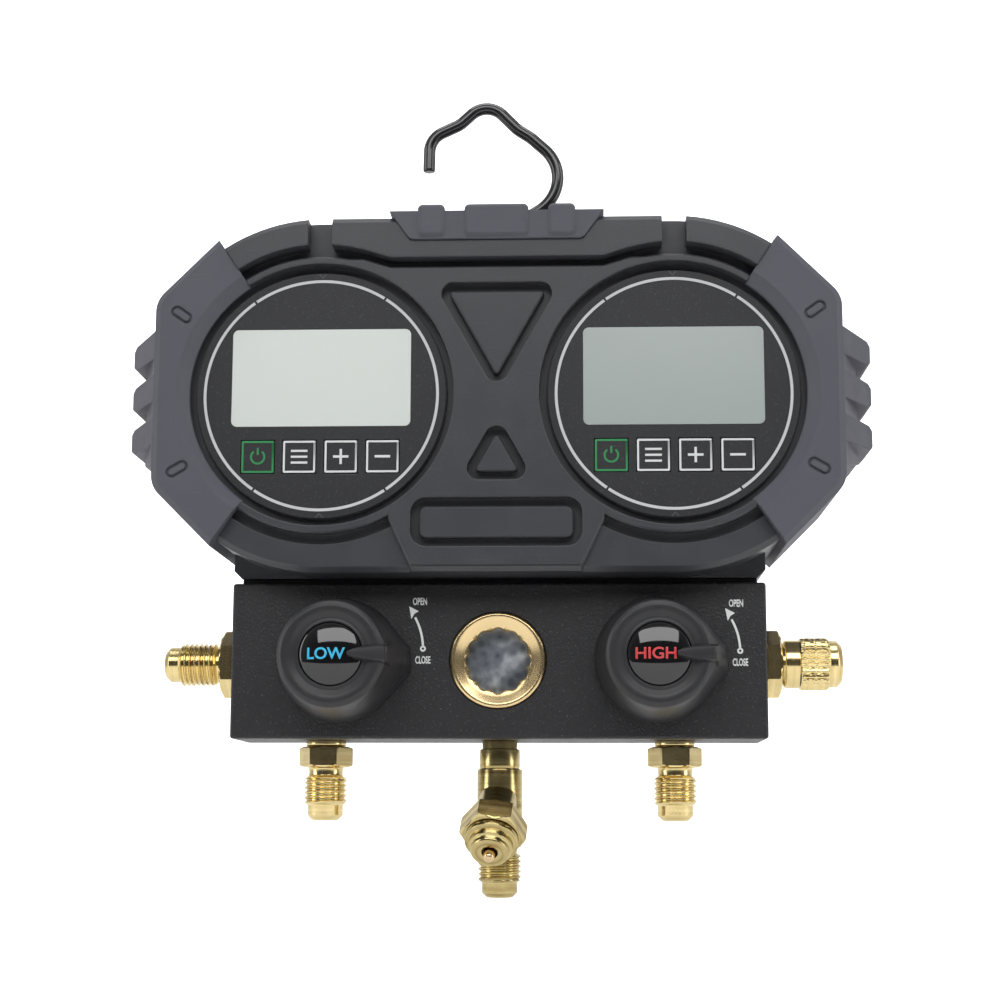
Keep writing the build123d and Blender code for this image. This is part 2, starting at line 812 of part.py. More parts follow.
def manifold_block():
    body = Pos(0, 0, axis_z) * Box(block_w, block_d, block_h)
    body = fillet(body.edges(), block_edge)
    end = block_w / 2
    body -= along_x(passage_r, -end, end)
    for side in (LOW, HIGH):
        x = side * valve_x
        body -= along_x(port_thread_r, min(side * end, side * (end - port_thread_l)),
                        max(side * end, side * (end - port_thread_l)))
        body -= slab(Pos(x, axis_z) * Circle(bonnet_r), 2 * block_front_y, ball_r + ball_gap + 1)
        body -= along_x(seat_ring_r + fit, x - seat_ring_out, x + seat_ring_out)
        room_z = block_bottom_z + port_thread_l + port_drill
        body -= upright(port_thread_r, side * hose_x, block_bottom_z, room_z)
        body -= upright(riser_r, side * (hose_x + riser_offset), room_z - 1, axis_z)
        body -= upright(port_thread_r, side * sensor_x, block_top_z - port_thread_l, block_top_z)
        body -= upright(riser_r, side * sensor_x, axis_z, block_top_z)
        for screw_x in mount_screws_x:
            foot_z = block_top_z - mount_screw_l + neck_floor
            body -= upright(mount_screw_r, side * screw_x, foot_z, block_top_z)
    body -= upright(port_thread_r, 0, block_bottom_z, block_bottom_z + port_thread_l)
    body -= upright(passage_r, 0, block_bottom_z, axis_z)
    ring_back = block_front_y - glass_ring_proud + glass_ring_t
    body -= slab(Pos(0, axis_z) * Circle(glass_ring_r), 2 * block_front_y, ring_back)
    body -= slab(Pos(0, axis_z) * Circle(lens_r + lens_gap), ring_back, ring_back + lens_t)
    body -= slab(Pos(0, axis_z) * Circle(glass_chamber_r), ring_back, passage_r + 1)
    return body


def sensor():
    body = turned([(0, -port_thread_l), (port_thread_r, -port_thread_l), (port_thread_r, 0), (0, 0)])
    body += hexagon(sensor_hex, sensor_hex_h)
    body += Pos(0, 0, sensor_hex_h + sensor_can_h / 2) * Cylinder(sensor_can_r, sensor_can_h)
    body -= Pos(0, 0, -port_thread_l) * Cylinder(riser_r, port_thread_l)
    return Pos(0, 0, block_top_z) * body


def mount_screw(x):
    shank = turned([(0, -mount_screw_l), (mount_screw_r, -mount_screw_l), (mount_screw_r, 0),
                    (2 * mount_screw_r, 0), (2 * mount_screw_r, mount_screw_r), (0, mount_screw_r)])
    return Pos(x, 0, neck_z + neck_floor) * shank


def star():
    points = []
    for index in range(2 * star_points):
        radius = glass_star_in if index % 2 else glass_star_r
        angle = math.pi * index / star_points
        points.append((radius * math.cos(angle), radius * math.sin(angle)))
    return make_face(Polyline(*points, close=True))


def glass_ring():
    fall = glass_slope * (glass_ring_r - glass_bore_r)
    t = glass_ring_t
    body = turned([(0, 0), (glass_ring_r, 0), (glass_ring_r, t - glass_edge), (glass_ring_r - glass_edge, t),
                   (glass_ring_r - glass_rim, t), (glass_bore_r, t - fall), (0, t - fall)])
    body -= extrude(star(), t)
    return at_front(0, axis_z, block_front_y + glass_ring_t - glass_ring_proud) * body


def glass_lens():
    return at_front(0, axis_z, block_front_y - glass_ring_proud + glass_ring_t + lens_t) * Pos(
        0, 0, lens_t / 2) * Cylinder(lens_r, lens_t)


# ---- valves (built at the origin, pointing to the user along +Z) ----


def valve_stem():
    """Ball, stem and square drive, with the ball's bore upright when closed."""
    depth = block_d / 2
    ball = Pos(0, 0, -depth) * (Sphere(ball_r) - Rotation(90, 0, 0) * Cylinder(ball_bore_r, 3 * ball_r))
    shaft = Pos(0, 0, stem_root - depth) * Cylinder(
        stem_r, depth - stem_root, align=(Align.CENTER, Align.CENTER, Align.MIN))
    square = extrude(Rectangle(stem_square, stem_square), stem_front)
    screw_hole = Pos(0, 0, stem_front) * Cylinder(knob_screw_r, 2 * stem_hole_l)
    return ball + shaft + square - screw_hole


def bonnet():
    length = bonnet_inner_y - block_front_y
    groove = block_front_y - ring_y
    body = Pos(0, 0, -length / 2) * Cylinder(bonnet_r, length)
    body -= Cylinder(stem_r + fit, 3 * length)
    reach = stem_r + 2 * fit + 2 * ring_r
    return body - Pos(0, 0, groove) * Cylinder(reach, 2 * ring_r + 2 * fit)


def stem_ring():
    groove = block_front_y - ring_y
    return Pos(0, 0, groove) * Torus(stem_r + fit + ring_r, ring_r)


def seat_rings():
    """The two rings that seal on the ball, one on each side along the passage."""
    hollow_r = ball_r + ball_gap
    face_r = math.sqrt(hollow_r ** 2 - seat_ring_in ** 2)
    throat_x = math.sqrt(hollow_r ** 2 - ball_bore_r ** 2)
    middle = math.atan2((seat_ring_in + throat_x) / 2, (face_r + ball_bore_r) / 2)
    line = Polyline((face_r, seat_ring_in), (seat_ring_r, seat_ring_in), (seat_ring_r, seat_ring_out),
                    (ball_bore_r, seat_ring_out), (ball_bore_r, throat_x))
    hollow = ThreePointArc((ball_bore_r, throat_x),
                           (hollow_r * math.cos(middle), hollow_r * math.sin(middle)),
                           (face_r, seat_ring_in))
    ring = revolve(Plane.XZ * make_face(line.edges() + [hollow]), Axis.Z)
    depth = block_d / 2
    return [Pos(0, 0, -depth) * Rotation(0, side * 90, 0) * ring for side in (LOW, HIGH)]


def knob():
    top = knob_h
    base = knob_gap
    profile = [(0, base), (knob_base_r, base), (knob_base_r, base + knob_base_h),
               (knob_front_r + knob_shoulder, top - knob_shoulder_h), (knob_front_r, top - knob_edge),
               (knob_front_r - knob_edge, top), (cap_r + knob_rim, top - knob_dish), (0, top - knob_dish)]
    body = turned(profile)
    inward = (Align.MAX, Align.CENTER)
    front = Rectangle(pointer_root, pointer_front_w, align=inward)
    front = Pos(pointer_front_r, 0, top + pointer_proud) * front
    foot = Pos(pointer_base_r, 0, base) * Rectangle(pointer_root, pointer_base_w, align=inward)
    body += loft([foot.face(), front.face()])
    arrow = make_face(Polyline((pointer_tip_r, 0), (pointer_front_r, pointer_front_w / 2),
                               (pointer_front_r, -pointer_front_w / 2), close=True))
    seat = top - knob_dish - cap_seat_depth
    lift = (Align.CENTER, Align.CENTER, Align.MIN)
    body -= Pos(0, 0, seat) * Cylinder(cap_r + cap_gap, through, align=lift)
    body += Plane.XY.offset(seat) * extrude(arrow, top + pointer_proud - seat)
    hollow = turned([(0, -1), (knob_base_r - wall, -1), (knob_base_r - wall, base + knob_skirt_h),
                     (knob_front_r - wall, seat - knob_web), (0, seat - knob_web)])
    hub = Cylinder(knob_hub_r, through)
    body -= hollow - hub
    body -= extrude(Rectangle(stem_square + 2 * fit, stem_square + 2 * fit), stem_front + fit)
    return body - Cylinder(knob_screw_r + fit, 2 * seat)


def arrow_notch():
    """The room that the knob's pointer takes from the cap."""
    gap = cap_gap
    points = [(pointer_tip_r - 3 * gap, 0), (pointer_front_r, pointer_front_w / 2 + gap),
              (pointer_front_r, -pointer_front_w / 2 - gap)]
    return extrude(make_face(Polyline(*points, close=True)), through, both=True)


def knob_cap():
    seat = knob_h - knob_dish - cap_seat_depth
    lift = (Align.CENTER, Align.CENTER, Align.MIN)
    dome_r = (cap_r ** 2 + cap_dome ** 2) / (2 * cap_dome)
    body = Pos(0, 0, seat) * Cylinder(cap_r, cap_seat_depth + cap_dome, align=lift)
    body &= Pos(0, 0, seat + cap_seat_depth + cap_dome - dome_r) * Sphere(dome_r)
    recess = Pos(0, 0, seat) * Cylinder(
        knob_screw_head_r + knob_screw_gap, knob_screw_head_h + knob_screw_gap, align=lift)
    return body - arrow_notch() - recess


def knob_screw():
    seat = knob_h - knob_dish - cap_seat_depth
    tip = stem_front - knob_screw_l
    return turned([(0, tip), (knob_screw_r, tip), (knob_screw_r, seat),
                   (knob_screw_head_r, seat), (knob_screw_head_r, seat + knob_screw_head_h),
                   (0, seat + knob_screw_head_h)])


# ---- fittings (built along +Z from the face they screw into) ----


def flare(radius_steps, bore=flare_bore_r):
    """A turned fitting: (radius, length) steps from the face outward, with a through bore."""
    points = [(0, -port_thread_l), (port_thread_r, -port_thread_l), (port_thread_r, 0)]
    z = 0.0
    for radius, length in radius_steps:
        points.append((radius, z))
        z += length
        points.append((radius, z))
    points.append((points[-1][0] - nose_cone, z + nose_cone))
    points.append((0, z + nose_cone))
    return turned(points) - Cylinder(bore, through)


def side_port(side):
    body = flare([(neck_r, side_hex_l + side_neck_l), (flare_r, side_thread_l[side]), (nose_r, nose_l)])
    return body + (hexagon(side_hex, side_hex_l) - Cylinder(flare_bore_r, through))


def hose_port():
    body = flare([(hose_collar_r, hose_collar_l), (neck_r, hose_hex_l + hose_neck_l),
                  (flare_r, hose_thread_l), (nose_r, nose_l)])
    hexed = Pos(0, 0, hose_collar_l) * hexagon(hose_hex, hose_hex_l)
    return body + (hexed - Cylinder(flare_bore_r, through))


port_l = side_hex_l + side_neck_l + side_thread_l[HIGH] + nose_l + nose_cone
cap_start = side_hex_l + cap_clearance
cap_l = cap_ring_l + cap_grip_l + cap_end_l


def flare_cap():
    e = cap_start + cap_l
    g0 = cap_start + cap_ring_l
    g1 = g0 + cap_grip_l
    b = cap_bevel
    body = turned([(0, cap_start), (cap_ring_r - b, cap_start), (cap_ring_r, cap_start + b),
                   (cap_ring_r, g0), (cap_body_r - b / 2, g0), (cap_body_r, g0 + b / 2),
                   (cap_body_r, g1 - b / 2), (cap_body_r - b / 2, g1), (cap_end_r, g1),
                   (cap_end_r, e - 2 * b), (cap_end_r - 1.5 * b, e), (0, e)])
    seal_top = port_l + seal_seat + seal_t + seal_seat
    lift = (Align.CENTER, Align.CENTER, Align.MIN)
    bore = Cylinder(flare_r + cap_thread_fit, port_l - seal_seat, align=lift)
    pocket_end = Cylinder(seal_r + fit, seal_top, align=lift)
    return body - bore - pocket_end


def cap_seal():
    start = port_l + seal_seat
    return Pos(0, 0, start + seal_t / 2) * Cylinder(seal_r, seal_t)


# ---- tee ----

tee_thread_at = tee_l - nose_cone - nose_l - tee_thread_l


def branch_place():
    """Frame of the branch: its Z runs out along the branch."""
    lean = math.radians(90 - branch_angle)
    turn = math.radians(branch_turn)
    direction = (-math.sin(lean) * math.sin(turn), -math.sin(lean) * math.cos(turn), -math.cos(lean))
    return Plane(origin=(0, 0, block_bottom_z - branch_drop), x_dir=(1, 0, -direction[0] / direction[2]),
                 z_dir=direction)


branch_l = branch_hex_at + branch_hex_l + branch_flange_l + branch_thread_l + branch_nose_l


def tee():
    run = [(tee_neck_r, tee_neck_l), (tee_collar_r, tee_collar_l),
           (tee_r, tee_thread_at - tee_neck_l - tee_collar_l - tee_relief_l), (neck_r, tee_relief_l),
           (flare_r, tee_thread_l), (nose_r, nose_l)]
    body = at_bottom(0) * flare(run)
    z1 = branch_hex_at + branch_hex_l
    z2 = z1 + branch_flange_l
    z3 = z2 + branch_thread_l
    arm = turned([(0, 0), (branch_neck_r, 0), (branch_neck_r, z1), (branch_flange_r, z1),
                  (branch_flange_r, z2), (flare_r, z2), (flare_r, z3), (branch_nose_r, z3),
                  (branch_nose_r, branch_l - branch_edge), (branch_nose_r - branch_edge, branch_l),
                  (0, branch_l)])
    arm += Pos(0, 0, branch_hex_at) * hexagon(branch_hex, branch_hex_l)
    inside = Pos(0, 0, core_back) * Cylinder(core_r_in, branch_l - core_back - lip_t,
                                             align=(Align.CENTER, Align.CENTER, Align.MIN))
    mouth = Cylinder(mouth_r, through, align=(Align.CENTER, Align.CENTER, Align.MIN))
    place = branch_place().location
    body += place * arm
    body -= place * inside
    body -= place * mouth
    return body - at_bottom(0) * Cylinder(flare_bore_r, 4 * tee_l)


def depressor_pin():
    """Rest position: the flange against the inside of the branch's lip."""
    lip = branch_l - lip_t
    flange_top = lip - pin_gap
    tail = core_back + pin_tail
    pin = Pos(0, 0, tail) * Cylinder(
        pin_r, branch_l + pin_out - tail, align=(Align.CENTER, Align.CENTER, Align.MIN))
    flange = Pos(0, 0, flange_top - pin_flange_t / 2) * Cylinder(pin_flange_r, pin_flange_t)
    tip = pin.faces().sort_by(Axis.Z)[-1].edges()
    return branch_place().location * (chamfer(tip, pin_edge) + flange)


def pin_spring():
    """Coil between the branch's back wall and the pin's flange."""
    top = branch_l - lip_t - pin_gap - pin_flange_t
    height = top - core_back - spring_wire - 2 * spring_end_gap
    count = spring_turns * spring_steps
    points = []
    for index in range(count + 1):
        angle = 2 * math.pi * index / spring_steps
        points.append((spring_r * math.cos(angle), spring_r * math.sin(angle), height * index / count))
    coil = Polyline(*points)
    section = Plane(origin=coil @ 0, z_dir=coil % 0) * RegularPolygon(spring_wire / 2, spring_sides)
    wire = sweep(section, path=coil, transition=Transition.RIGHT)
    return branch_place().location * Pos(0, 0, core_back + spring_end_gap + spring_wire / 2) * wire


# ---- fasteners ----


def housing_screw(x, z):
    seat = screw_seat_y
    shank = slab(Pos(x, z) * Circle(screw_r), board_y + boss_floor + screw_tip_gap, seat)
    return shank + slab(Pos(x, z) * Circle(screw_head_r), seat, seat + screw_head_h)


def build():
    save("front_housing", front_housing())
    save("rear_cover", rear_cover())
    low_bumper = bumper()
    save("left_bumper", low_bumper)
    save("right_bumper", mirror(low_bumper, Plane.YZ))
    save("top_grip", top_grip())
    save("hook", hook())
    save("hook_nut", hook_nut())
    save("hook_collar", hook_collar())
    save("block_gasket", gasket())
    save("manifold_block", manifold_block())
    save("sight_glass_ring", glass_ring())
    save("sight_glass_lens", glass_lens())
    all_switches = []
    all_cells = []
    all_seats = []
    all_cover_screws = []
    for name, side in SIDES:
        place = Pos(side * dial_x, 0, dial_z)
        save(name + "_dial_overlay", place * overlay())
        save(name + "_window", place * window())
        save(name + "_lcd", place * lcd())
        save(name + "_circuit_board", place * board())
        for key_name, x in zip(("power", "menu", "plus", "minus"), key_places()):
            save(name + "_" + key_name + "_key", place * key(x))
        all_switches += [place * one for one in switches()]
        all_cells += [place * one for one in cells()]
        save(name + "_battery_cover", place * battery_cover())
        all_cover_screws.append(place * cover_screw())
        save(name + "_pressure_sensor", Pos(side * sensor_x, 0, 0) * sensor())
        valve = at_front(side * valve_x, axis_z)
        save(name + "_valve_stem", valve * valve_stem())
        save(name + "_bonnet", valve * bonnet())
        save(name + "_stem_ring", valve * stem_ring())
        save(name + "_knob", valve * knob())
        save(name + "_knob_cap", valve * knob_cap())
        save(name + "_knob_screw", valve * knob_screw())
        all_seats += [valve * one for one in seat_rings()]
        save(name + "_side_port", at_end(side) * side_port(side))
        save(name + "_hose_port", at_bottom(side * hose_x) * hose_port())
    save("key_switches", Compound(children=all_switches))
    save("battery_cells", Compound(children=all_cells))
    save("valve_seats", Compound(children=all_seats))
    save("battery_cover_screws", Compound(children=all_cover_screws))
    save("flare_cap", at_end(HIGH) * flare_cap())
    save("cap_seal", at_end(HIGH) * cap_seal())
    save("tee_body", tee())
    save("depressor_pin", depressor_pin())
    save("pin_spring", pin_spring())
    screws = [housing_screw(x, dial_z + z) for x, z in boss_places()]
    save("housing_screws", Compound(children=screws))
    bolts = [mount_screw(side * x) for x in mount_screws_x for side in (LOW, HIGH)]
    save("mount_screws", Compound(children=bolts))


build()
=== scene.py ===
import math

import bmesh
import bpy
import numpy as np
from mathutils import Matrix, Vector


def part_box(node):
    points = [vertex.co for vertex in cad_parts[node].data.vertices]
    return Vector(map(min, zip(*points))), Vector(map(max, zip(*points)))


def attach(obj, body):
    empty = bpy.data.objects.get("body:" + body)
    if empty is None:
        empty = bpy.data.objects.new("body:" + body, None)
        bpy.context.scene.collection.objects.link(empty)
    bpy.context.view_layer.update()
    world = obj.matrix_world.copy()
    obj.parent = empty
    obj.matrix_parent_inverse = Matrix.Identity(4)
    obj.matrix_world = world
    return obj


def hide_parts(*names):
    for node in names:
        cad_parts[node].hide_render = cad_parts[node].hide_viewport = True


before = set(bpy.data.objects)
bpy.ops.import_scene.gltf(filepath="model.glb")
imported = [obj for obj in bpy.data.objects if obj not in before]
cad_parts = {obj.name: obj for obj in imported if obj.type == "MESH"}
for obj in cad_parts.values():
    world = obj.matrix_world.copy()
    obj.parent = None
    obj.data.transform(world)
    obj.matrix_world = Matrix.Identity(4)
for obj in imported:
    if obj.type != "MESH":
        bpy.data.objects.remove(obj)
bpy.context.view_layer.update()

# ----------------------------------------
# Hook: a 3.25 mm steel rod bent cold to a hanger and coated in black enamel.
# It turns in a steel collar pressed into the housing's top, above its nut.
# ----------------------------------------

MM = 0.001
scene = bpy.context.scene
WELD = 2e-6
ROD_R = 3.25 / 2
ROD_BENDS = [(1.1, 4.5, -57), (9.7, 10.8, 105), (4.3, 9.0, 10), (2.5, 9.0, -12),
             (5.1, 6.0, 87), (3.0, 8.0, -18), (4.1, 6.0, 65), (5.5, 6.0, 0)]
ROD_TAIL = 8.5
ROD_TIP_ROUND = 0.45
housing_top_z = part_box("rear_cover")[1].z / MM


def rod_line(bends, step):
    """Centre line of the rod in XZ. The heading turns evenly along each bend and stays along each
    run: with k(s) the curvature, heading = 90 deg + integral of k, place = integral of its direction."""
    lengths = []
    curvature = []
    for run, radius, turn in bends:
        lengths += [run, abs(math.radians(turn)) * radius]
        curvature += [0.0, math.copysign(1 / radius, turn)]
    ends = np.cumsum(lengths)
    along = np.arange(0, ends[-1], step)
    bend = np.array(curvature)[np.searchsorted(ends, along, side="right").clip(0, len(ends) - 1)]
    heading = math.pi / 2 + np.concatenate([[0], np.cumsum(bend[:-1] * step)])
    x = np.concatenate([[0], np.cumsum(np.cos(heading[:-1] + bend[:-1] * step / 2) * step)])
    z = np.concatenate([[0], np.cumsum(np.sin(heading[:-1] + bend[:-1] * step / 2) * step)])
    return np.stack([x, 0 * x, z], -1)


def grid_faces(rows, columns, wrap_rows=False, wrap_columns=True):
    """Quads between neighbouring rows and columns of a grid, with each corner's (u, v) in grid steps."""
    row, column = np.meshgrid(np.arange(rows if wrap_rows else rows - 1),
                              np.arange(columns if wrap_columns else columns - 1), indexing="ij")
    row = row.reshape(-1, 1) + np.array([0, 0, 1, 1])
    column = column.reshape(-1, 1) + np.array([0, 1, 1, 0])
    faces = (row % rows) * columns + column % columns
    return faces, np.stack([column, row], -1).astype(float)


def swept(line, radius, columns=32):
    """Round bar along a planar line: point(s, a) = line(s) + radius(s) (cos a * Y + sin a * normal)."""
    tangent = np.gradient(line, axis=0)
    tangent /= np.linalg.norm(tangent, axis=1, keepdims=True)
    across = np.array([0.0, 1.0, 0.0])
    normal = np.cross(tangent, across)
    angle = np.linspace(0, 2 * np.pi, columns, endpoint=False)
    ring = np.cos(angle)[None, :, None] * across + np.sin(angle)[None, :, None] * normal[:, None, :]
    points = line[:, None, :] + radius[:, None, None] * ring
    faces, corners = grid_faces(len(line), columns)
    run = np.linalg.norm(np.diff(line, axis=0), axis=1)
    run = np.concatenate([[0], np.cumsum(run)])
    uv = np.stack([corners[..., 0] / columns, run[corners[..., 1].astype(int)]], -1)
    return points.reshape(-1, 3), faces, uv


def piece(name, surfaces, body, coat, stands_for=(), crease=38):
    """One object out of grid surfaces given in millimetres: welded, faces outward, on its body."""
    points = np.concatenate([part[0] for part in surfaces]) * MM
    starts = np.cumsum([0] + [len(part[0]) for part in surfaces[:-1]])
    faces = np.concatenate([part[1] + start for part, start in zip(surfaces, starts)])
    uv = np.concatenate([part[2] for part in surfaces])
    mesh = bpy.data.meshes.new(name)
    mesh.vertices.add(len(points))
    mesh.vertices.foreach_set("co", points.ravel())
    mesh.loops.add(faces.size)
    mesh.loops.foreach_set("vertex_index", faces.ravel().astype(np.int32))
    mesh.polygons.add(len(faces))
    mesh.polygons.foreach_set("loop_start", np.arange(0, faces.size, faces.shape[1], dtype=np.int32))
    mesh.update(calc_edges=True)
    mesh.uv_layers.new(name="surface").data.foreach_set("uv", uv.ravel())
    work = bmesh.new()
    work.from_mesh(mesh)
    bmesh.ops.remove_doubles(work, verts=work.verts, dist=WELD)
    bmesh.ops.dissolve_degenerate(work, dist=1e-7, edges=work.edges)
    bmesh.ops.recalc_face_normals(work, faces=work.faces)
    work.to_mesh(mesh)
    work.free()
    mesh.shade_smooth()
    mesh.set_sharp_from_angle(angle=math.radians(crease))
    mounted(bpy.data.objects.new(name, mesh), body, coat, stands_for)


def cover(obj, coat):
    """Give an object this one material."""
    obj.data.materials.clear()
    obj.data.materials.append(coat)


def mounted(obj, body, coat, stands_for=()):
    """Give an object its material, body and the CAD nodes that it stands for."""
    scene.collection.objects.link(obj)
    cover(obj, coat)
    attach(obj, body)
    if stands_for:
        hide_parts(*stands_for)
    return obj


def feed(tree, node, inputs):
    """Set a node's inputs. Each is a value, or another node's output to link."""
    for socket, value in inputs.items():
        if isinstance(value, bpy.types.NodeSocket):
            tree.links.new(value, node.inputs[socket])
        else:
            node.inputs[socket].default_value = value
    return node


def add(tree, kind, inputs=None, **options):
    """Put one node in a tree, with its options and inputs."""
    node = tree.nodes.new(kind)
    for option, value in options.items():
        setattr(node, option, value)
    return feed(tree, node, inputs or {})


def window(tree, value, low, high):
    """0 where the value is below `low`, 1 where it is above `high`, and even between."""
    span = {"Value": value, "From Min": low, "From Max": high}
    return add(tree, "ShaderNodeMapRange", span).outputs["Result"]


def ranged(tree, value, low, high):
    """A value of 0 to 1 spread from `low` to `high`."""
    return add(tree, "ShaderNodeMapRange", {"Value": value, "To Min": low, "To Max": high}).outputs["Result"]


def noise(tree, vector, scale, detail=2.0, rough=0.5, bend=0.0):
    """Level of a cloudy noise at a point."""
    return add(tree, "ShaderNodeTexNoise", {"Vector": vector, "Scale": scale, "Detail": detail,
                                            "Roughness": rough, "Distortion": bend}).outputs["Fac"]


def maths(tree, operation, *values):
    """Result of one sum of up to three values."""
    return add(tree, "ShaderNodeMath", dict(enumerate(values)), operation=operation).outputs[0]


def bumped(tree, height, depth, strength=1.0):
    """A bump node that raises the surface by `depth` millimetres where the height is 1."""
    return add(tree, "ShaderNodeBump", {"Height": height, "Strength": strength, "Distance": depth * MM})


def mixed(tree, factor, first, second):
    """The colour that lies by `factor` between two colours."""
    mix = add(tree, "ShaderNodeMix", {"Factor": factor, "A": first, "B": second}, data_type="RGBA")
    return mix.outputs["Result"]


def coated(name):
    """A new material, its node tree and its shader."""
    coat = bpy.data.materials.new(name)
    coat.use_nodes = True
    return coat, coat.node_tree, coat.node_tree.nodes["Principled BSDF"]


def effect(name, inputs, outputs):
    """An empty shader node group with its named sockets, and its input and output nodes."""
    group = bpy.data.node_groups.new(name, "ShaderNodeTree")
    for label, kind, *value in inputs:
        socket = group.interface.new_socket(label, in_out="INPUT", socket_type="NodeSocket" + kind)
        if value:
            socket.default_value = value[0]
    for label, kind in outputs:
        group.interface.new_socket(label, in_out="OUTPUT", socket_type="NodeSocket" + kind)
    return group, add(group, "NodeGroupInput"), add(group, "NodeGroupOutput")


def grain_effect():
    """Fine texture of a moulded or coated skin, with slow drifts of tone over it, and the peaks of its grain, where
    skins get painted glints.
    """
    group, start, end = effect("skin_grain", [("Vector", "Vector"), ("Scale", "Float", 1500.0),
                                              ("Drift Scale", "Float", 60.0)],
                               [("Height", "Float"), ("Tone", "Float"), ("Peak Glint", "Float")])
    spot = start.outputs["Vector"]
    fine = noise(group, spot, start.outputs["Scale"], 3.0)
    drift = noise(group, spot, start.outputs["Drift Scale"], 4.0, 0.6)
    feed(group, end, {"Height": fine, "Tone": drift, "Peak Glint": window(group, fine, 0.62, 0.74)})
    return group


def handling_effect():
    """Dull smears and faint hairline scuffs that handling leaves."""
    group, start, end = effect("handling", [("Vector", "Vector"), ("Scale", "Float", 90.0)],
                               [("Smear", "Float"), ("Scuff", "Float")])
    spot = start.outputs["Vector"]
    smear = noise(group, spot, start.outputs["Scale"], 6.0, 0.65, 0.8)
    stretch = add(group, "ShaderNodeMapping", {"Vector": spot, "Rotation": (0.3, 0.5, 0.6),
                                               "Scale": (90, 2400, 2400)})
    hair = noise(group, stretch.outputs["Vector"], 1.0)
    feed(group, end, {"Smear": window(group, smear, 0.42, 0.72), "Scuff": window(group, hair, 0.70, 0.76)})
    return group


skin_grain = grain_effect()
handling = handling_effect()


def skin(name, colour, drifted, rough, rough_spread, grain=1500.0, depth=0.02, peak_glints=0.0,
         scuffs=0.0, drift=60.0, level=0.5, coat_weight=0.0, coat_rough=0.1, edge=0.0):
    """A moulded, painted or coated finish: colour drifts to `drifted`, roughness spreads with
    smears, the colour is paled as painted glints on the grain's peaks and on real hairline scuffs,
    and fine grain raises the surface by `depth` millimetres."""
    coat, tree, shader = coated(name)
    spot = add(tree, "ShaderNodeTexCoord").outputs["Object"]
    grained = add(tree, "ShaderNodeGroup", {"Vector": spot, "Scale": grain, "Drift Scale": drift},
                  node_tree=skin_grain)
    used = add(tree, "ShaderNodeGroup", {"Vector": spot}, node_tree=handling)
    shade = mixed(tree, grained.outputs["Tone"], (*colour, 1), (*drifted, 1))
    worn = maths(tree, "MULTIPLY", used.outputs["Scuff"], scuffs)
    # The paler colour goes on the grain's peaks as painted glints, and on the hairline scuffs as real wear.
    glints_and_scuffs = maths(tree, "MULTIPLY_ADD", grained.outputs["Peak Glint"], peak_glints, worn)
    pale = (*[min(1.0, 0.10 + 2.2 * c) for c in drifted], 1)
    gloss = ranged(tree, used.outputs["Smear"], rough - rough_spread, rough + rough_spread)
    bump = bumped(tree, grained.outputs["Height"], depth)
    if edge:
        soft = add(tree, "ShaderNodeBevel", {"Radius": edge * MM}, samples=4)
        tree.links.new(soft.outputs["Normal"], bump.inputs["Normal"])
    feed(tree, shader, {"Base Color": mixed(tree, glints_and_scuffs, shade, pale), "Roughness": gloss,
                        "Normal": bump.outputs["Normal"]})
    shader.inputs["Specular IOR Level"].default_value = level
    shader.inputs["Coat Weight"].default_value = coat_weight
    shader.inputs["Coat Roughness"].default_value = coat_rough
    return coat


hook_enamel = skin("hook_enamel", (0.010, 0.010, 0.011), (0.016, 0.016, 0.018), 0.24, 0.07,
                   grain=700.0, depth=0.006, scuffs=0.08, coat_weight=0.5)
rod = rod_line(ROD_BENDS, 0.25)
tail = np.linspace([0, 0, -ROD_TAIL], [0, 0, -1.0], 4)
rod = np.concatenate([tail, rod]) + [0, 0, housing_top_z]
rod_r = np.full(len(rod), ROD_R)
rim = np.linspace(0, np.pi / 2, 6)
tip_way = (rod[-1] - rod[-2]) / np.linalg.norm(rod[-1] - rod[-2])
tip = rod[-1] + ROD_TIP_ROUND * np.sin(rim)[:, None] * tip_way
rod = np.concatenate([rod[:1] - [0, 0, 0.01], rod, tip[1:], tip[-1:] + 0.001 * tip_way])
rod_r = np.concatenate([[0.0], rod_r, ROD_R - ROD_TIP_ROUND * (1 - np.cos(rim[1:])), [0.0]])
piece("hook_rod", [swept(rod, rod_r)], "hook", hook_enamel, ["hook"])

# ----------------------------------------
# Housing: a moulded front and rear cover in charcoal ABS with a fine spark-eroded
# texture, screwed together from behind. The rear cover's neck stands on the block.
# ----------------------------------------


EDGE_ANGLE = math.radians(28)


def eased_solid(name, node, coat, width=0.3, body="manifold", segments=2):
    """The moulding's own solid with its loose triangles welded, its flat faces joined and its
    edges broken to a small radius of `width` millimetres."""
    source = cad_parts[node].data
    corners = np.zeros(len(source.vertices) * 3)
    source.vertices.foreach_get("co", corners)
    source.calc_loop_triangles()
    faces = np.zeros(len(source.loop_triangles) * 3, np.int32)
    source.loop_triangles.foreach_get("vertices", faces)
    mesh = bpy.data.meshes.new(name)
    mesh.from_pydata(corners.reshape(-1, 3).tolist(), [], faces.reshape(-1, 3).tolist())
    work = bmesh.new()
    work.from_mesh(mesh)
    bmesh.ops.remove_doubles(work, verts=work.verts, dist=WELD)
    bmesh.ops.dissolve_limit(work, angle_limit=math.radians(0.6), verts=work.verts, edges=work.edges)
    work.to_mesh(mesh)
    work.free()
    mesh.shade_smooth()
    if not width:
        mesh.set_sharp_from_angle(angle=EDGE_ANGLE)
    obj = mounted(bpy.data.objects.new(name, mesh), body, coat, [node])
    if width:
        edge = obj.modifiers.new("broken_edges", "BEVEL")
        edge.width = width * MM
        edge.segments = segments
        edge.limit_method = "ANGLE"
        edge.angle_limit = EDGE_ANGLE
        edge.harden_normals = True
        edge.use_clamp_overlap = False
        edge.miter_outer = "MITER_ARC"


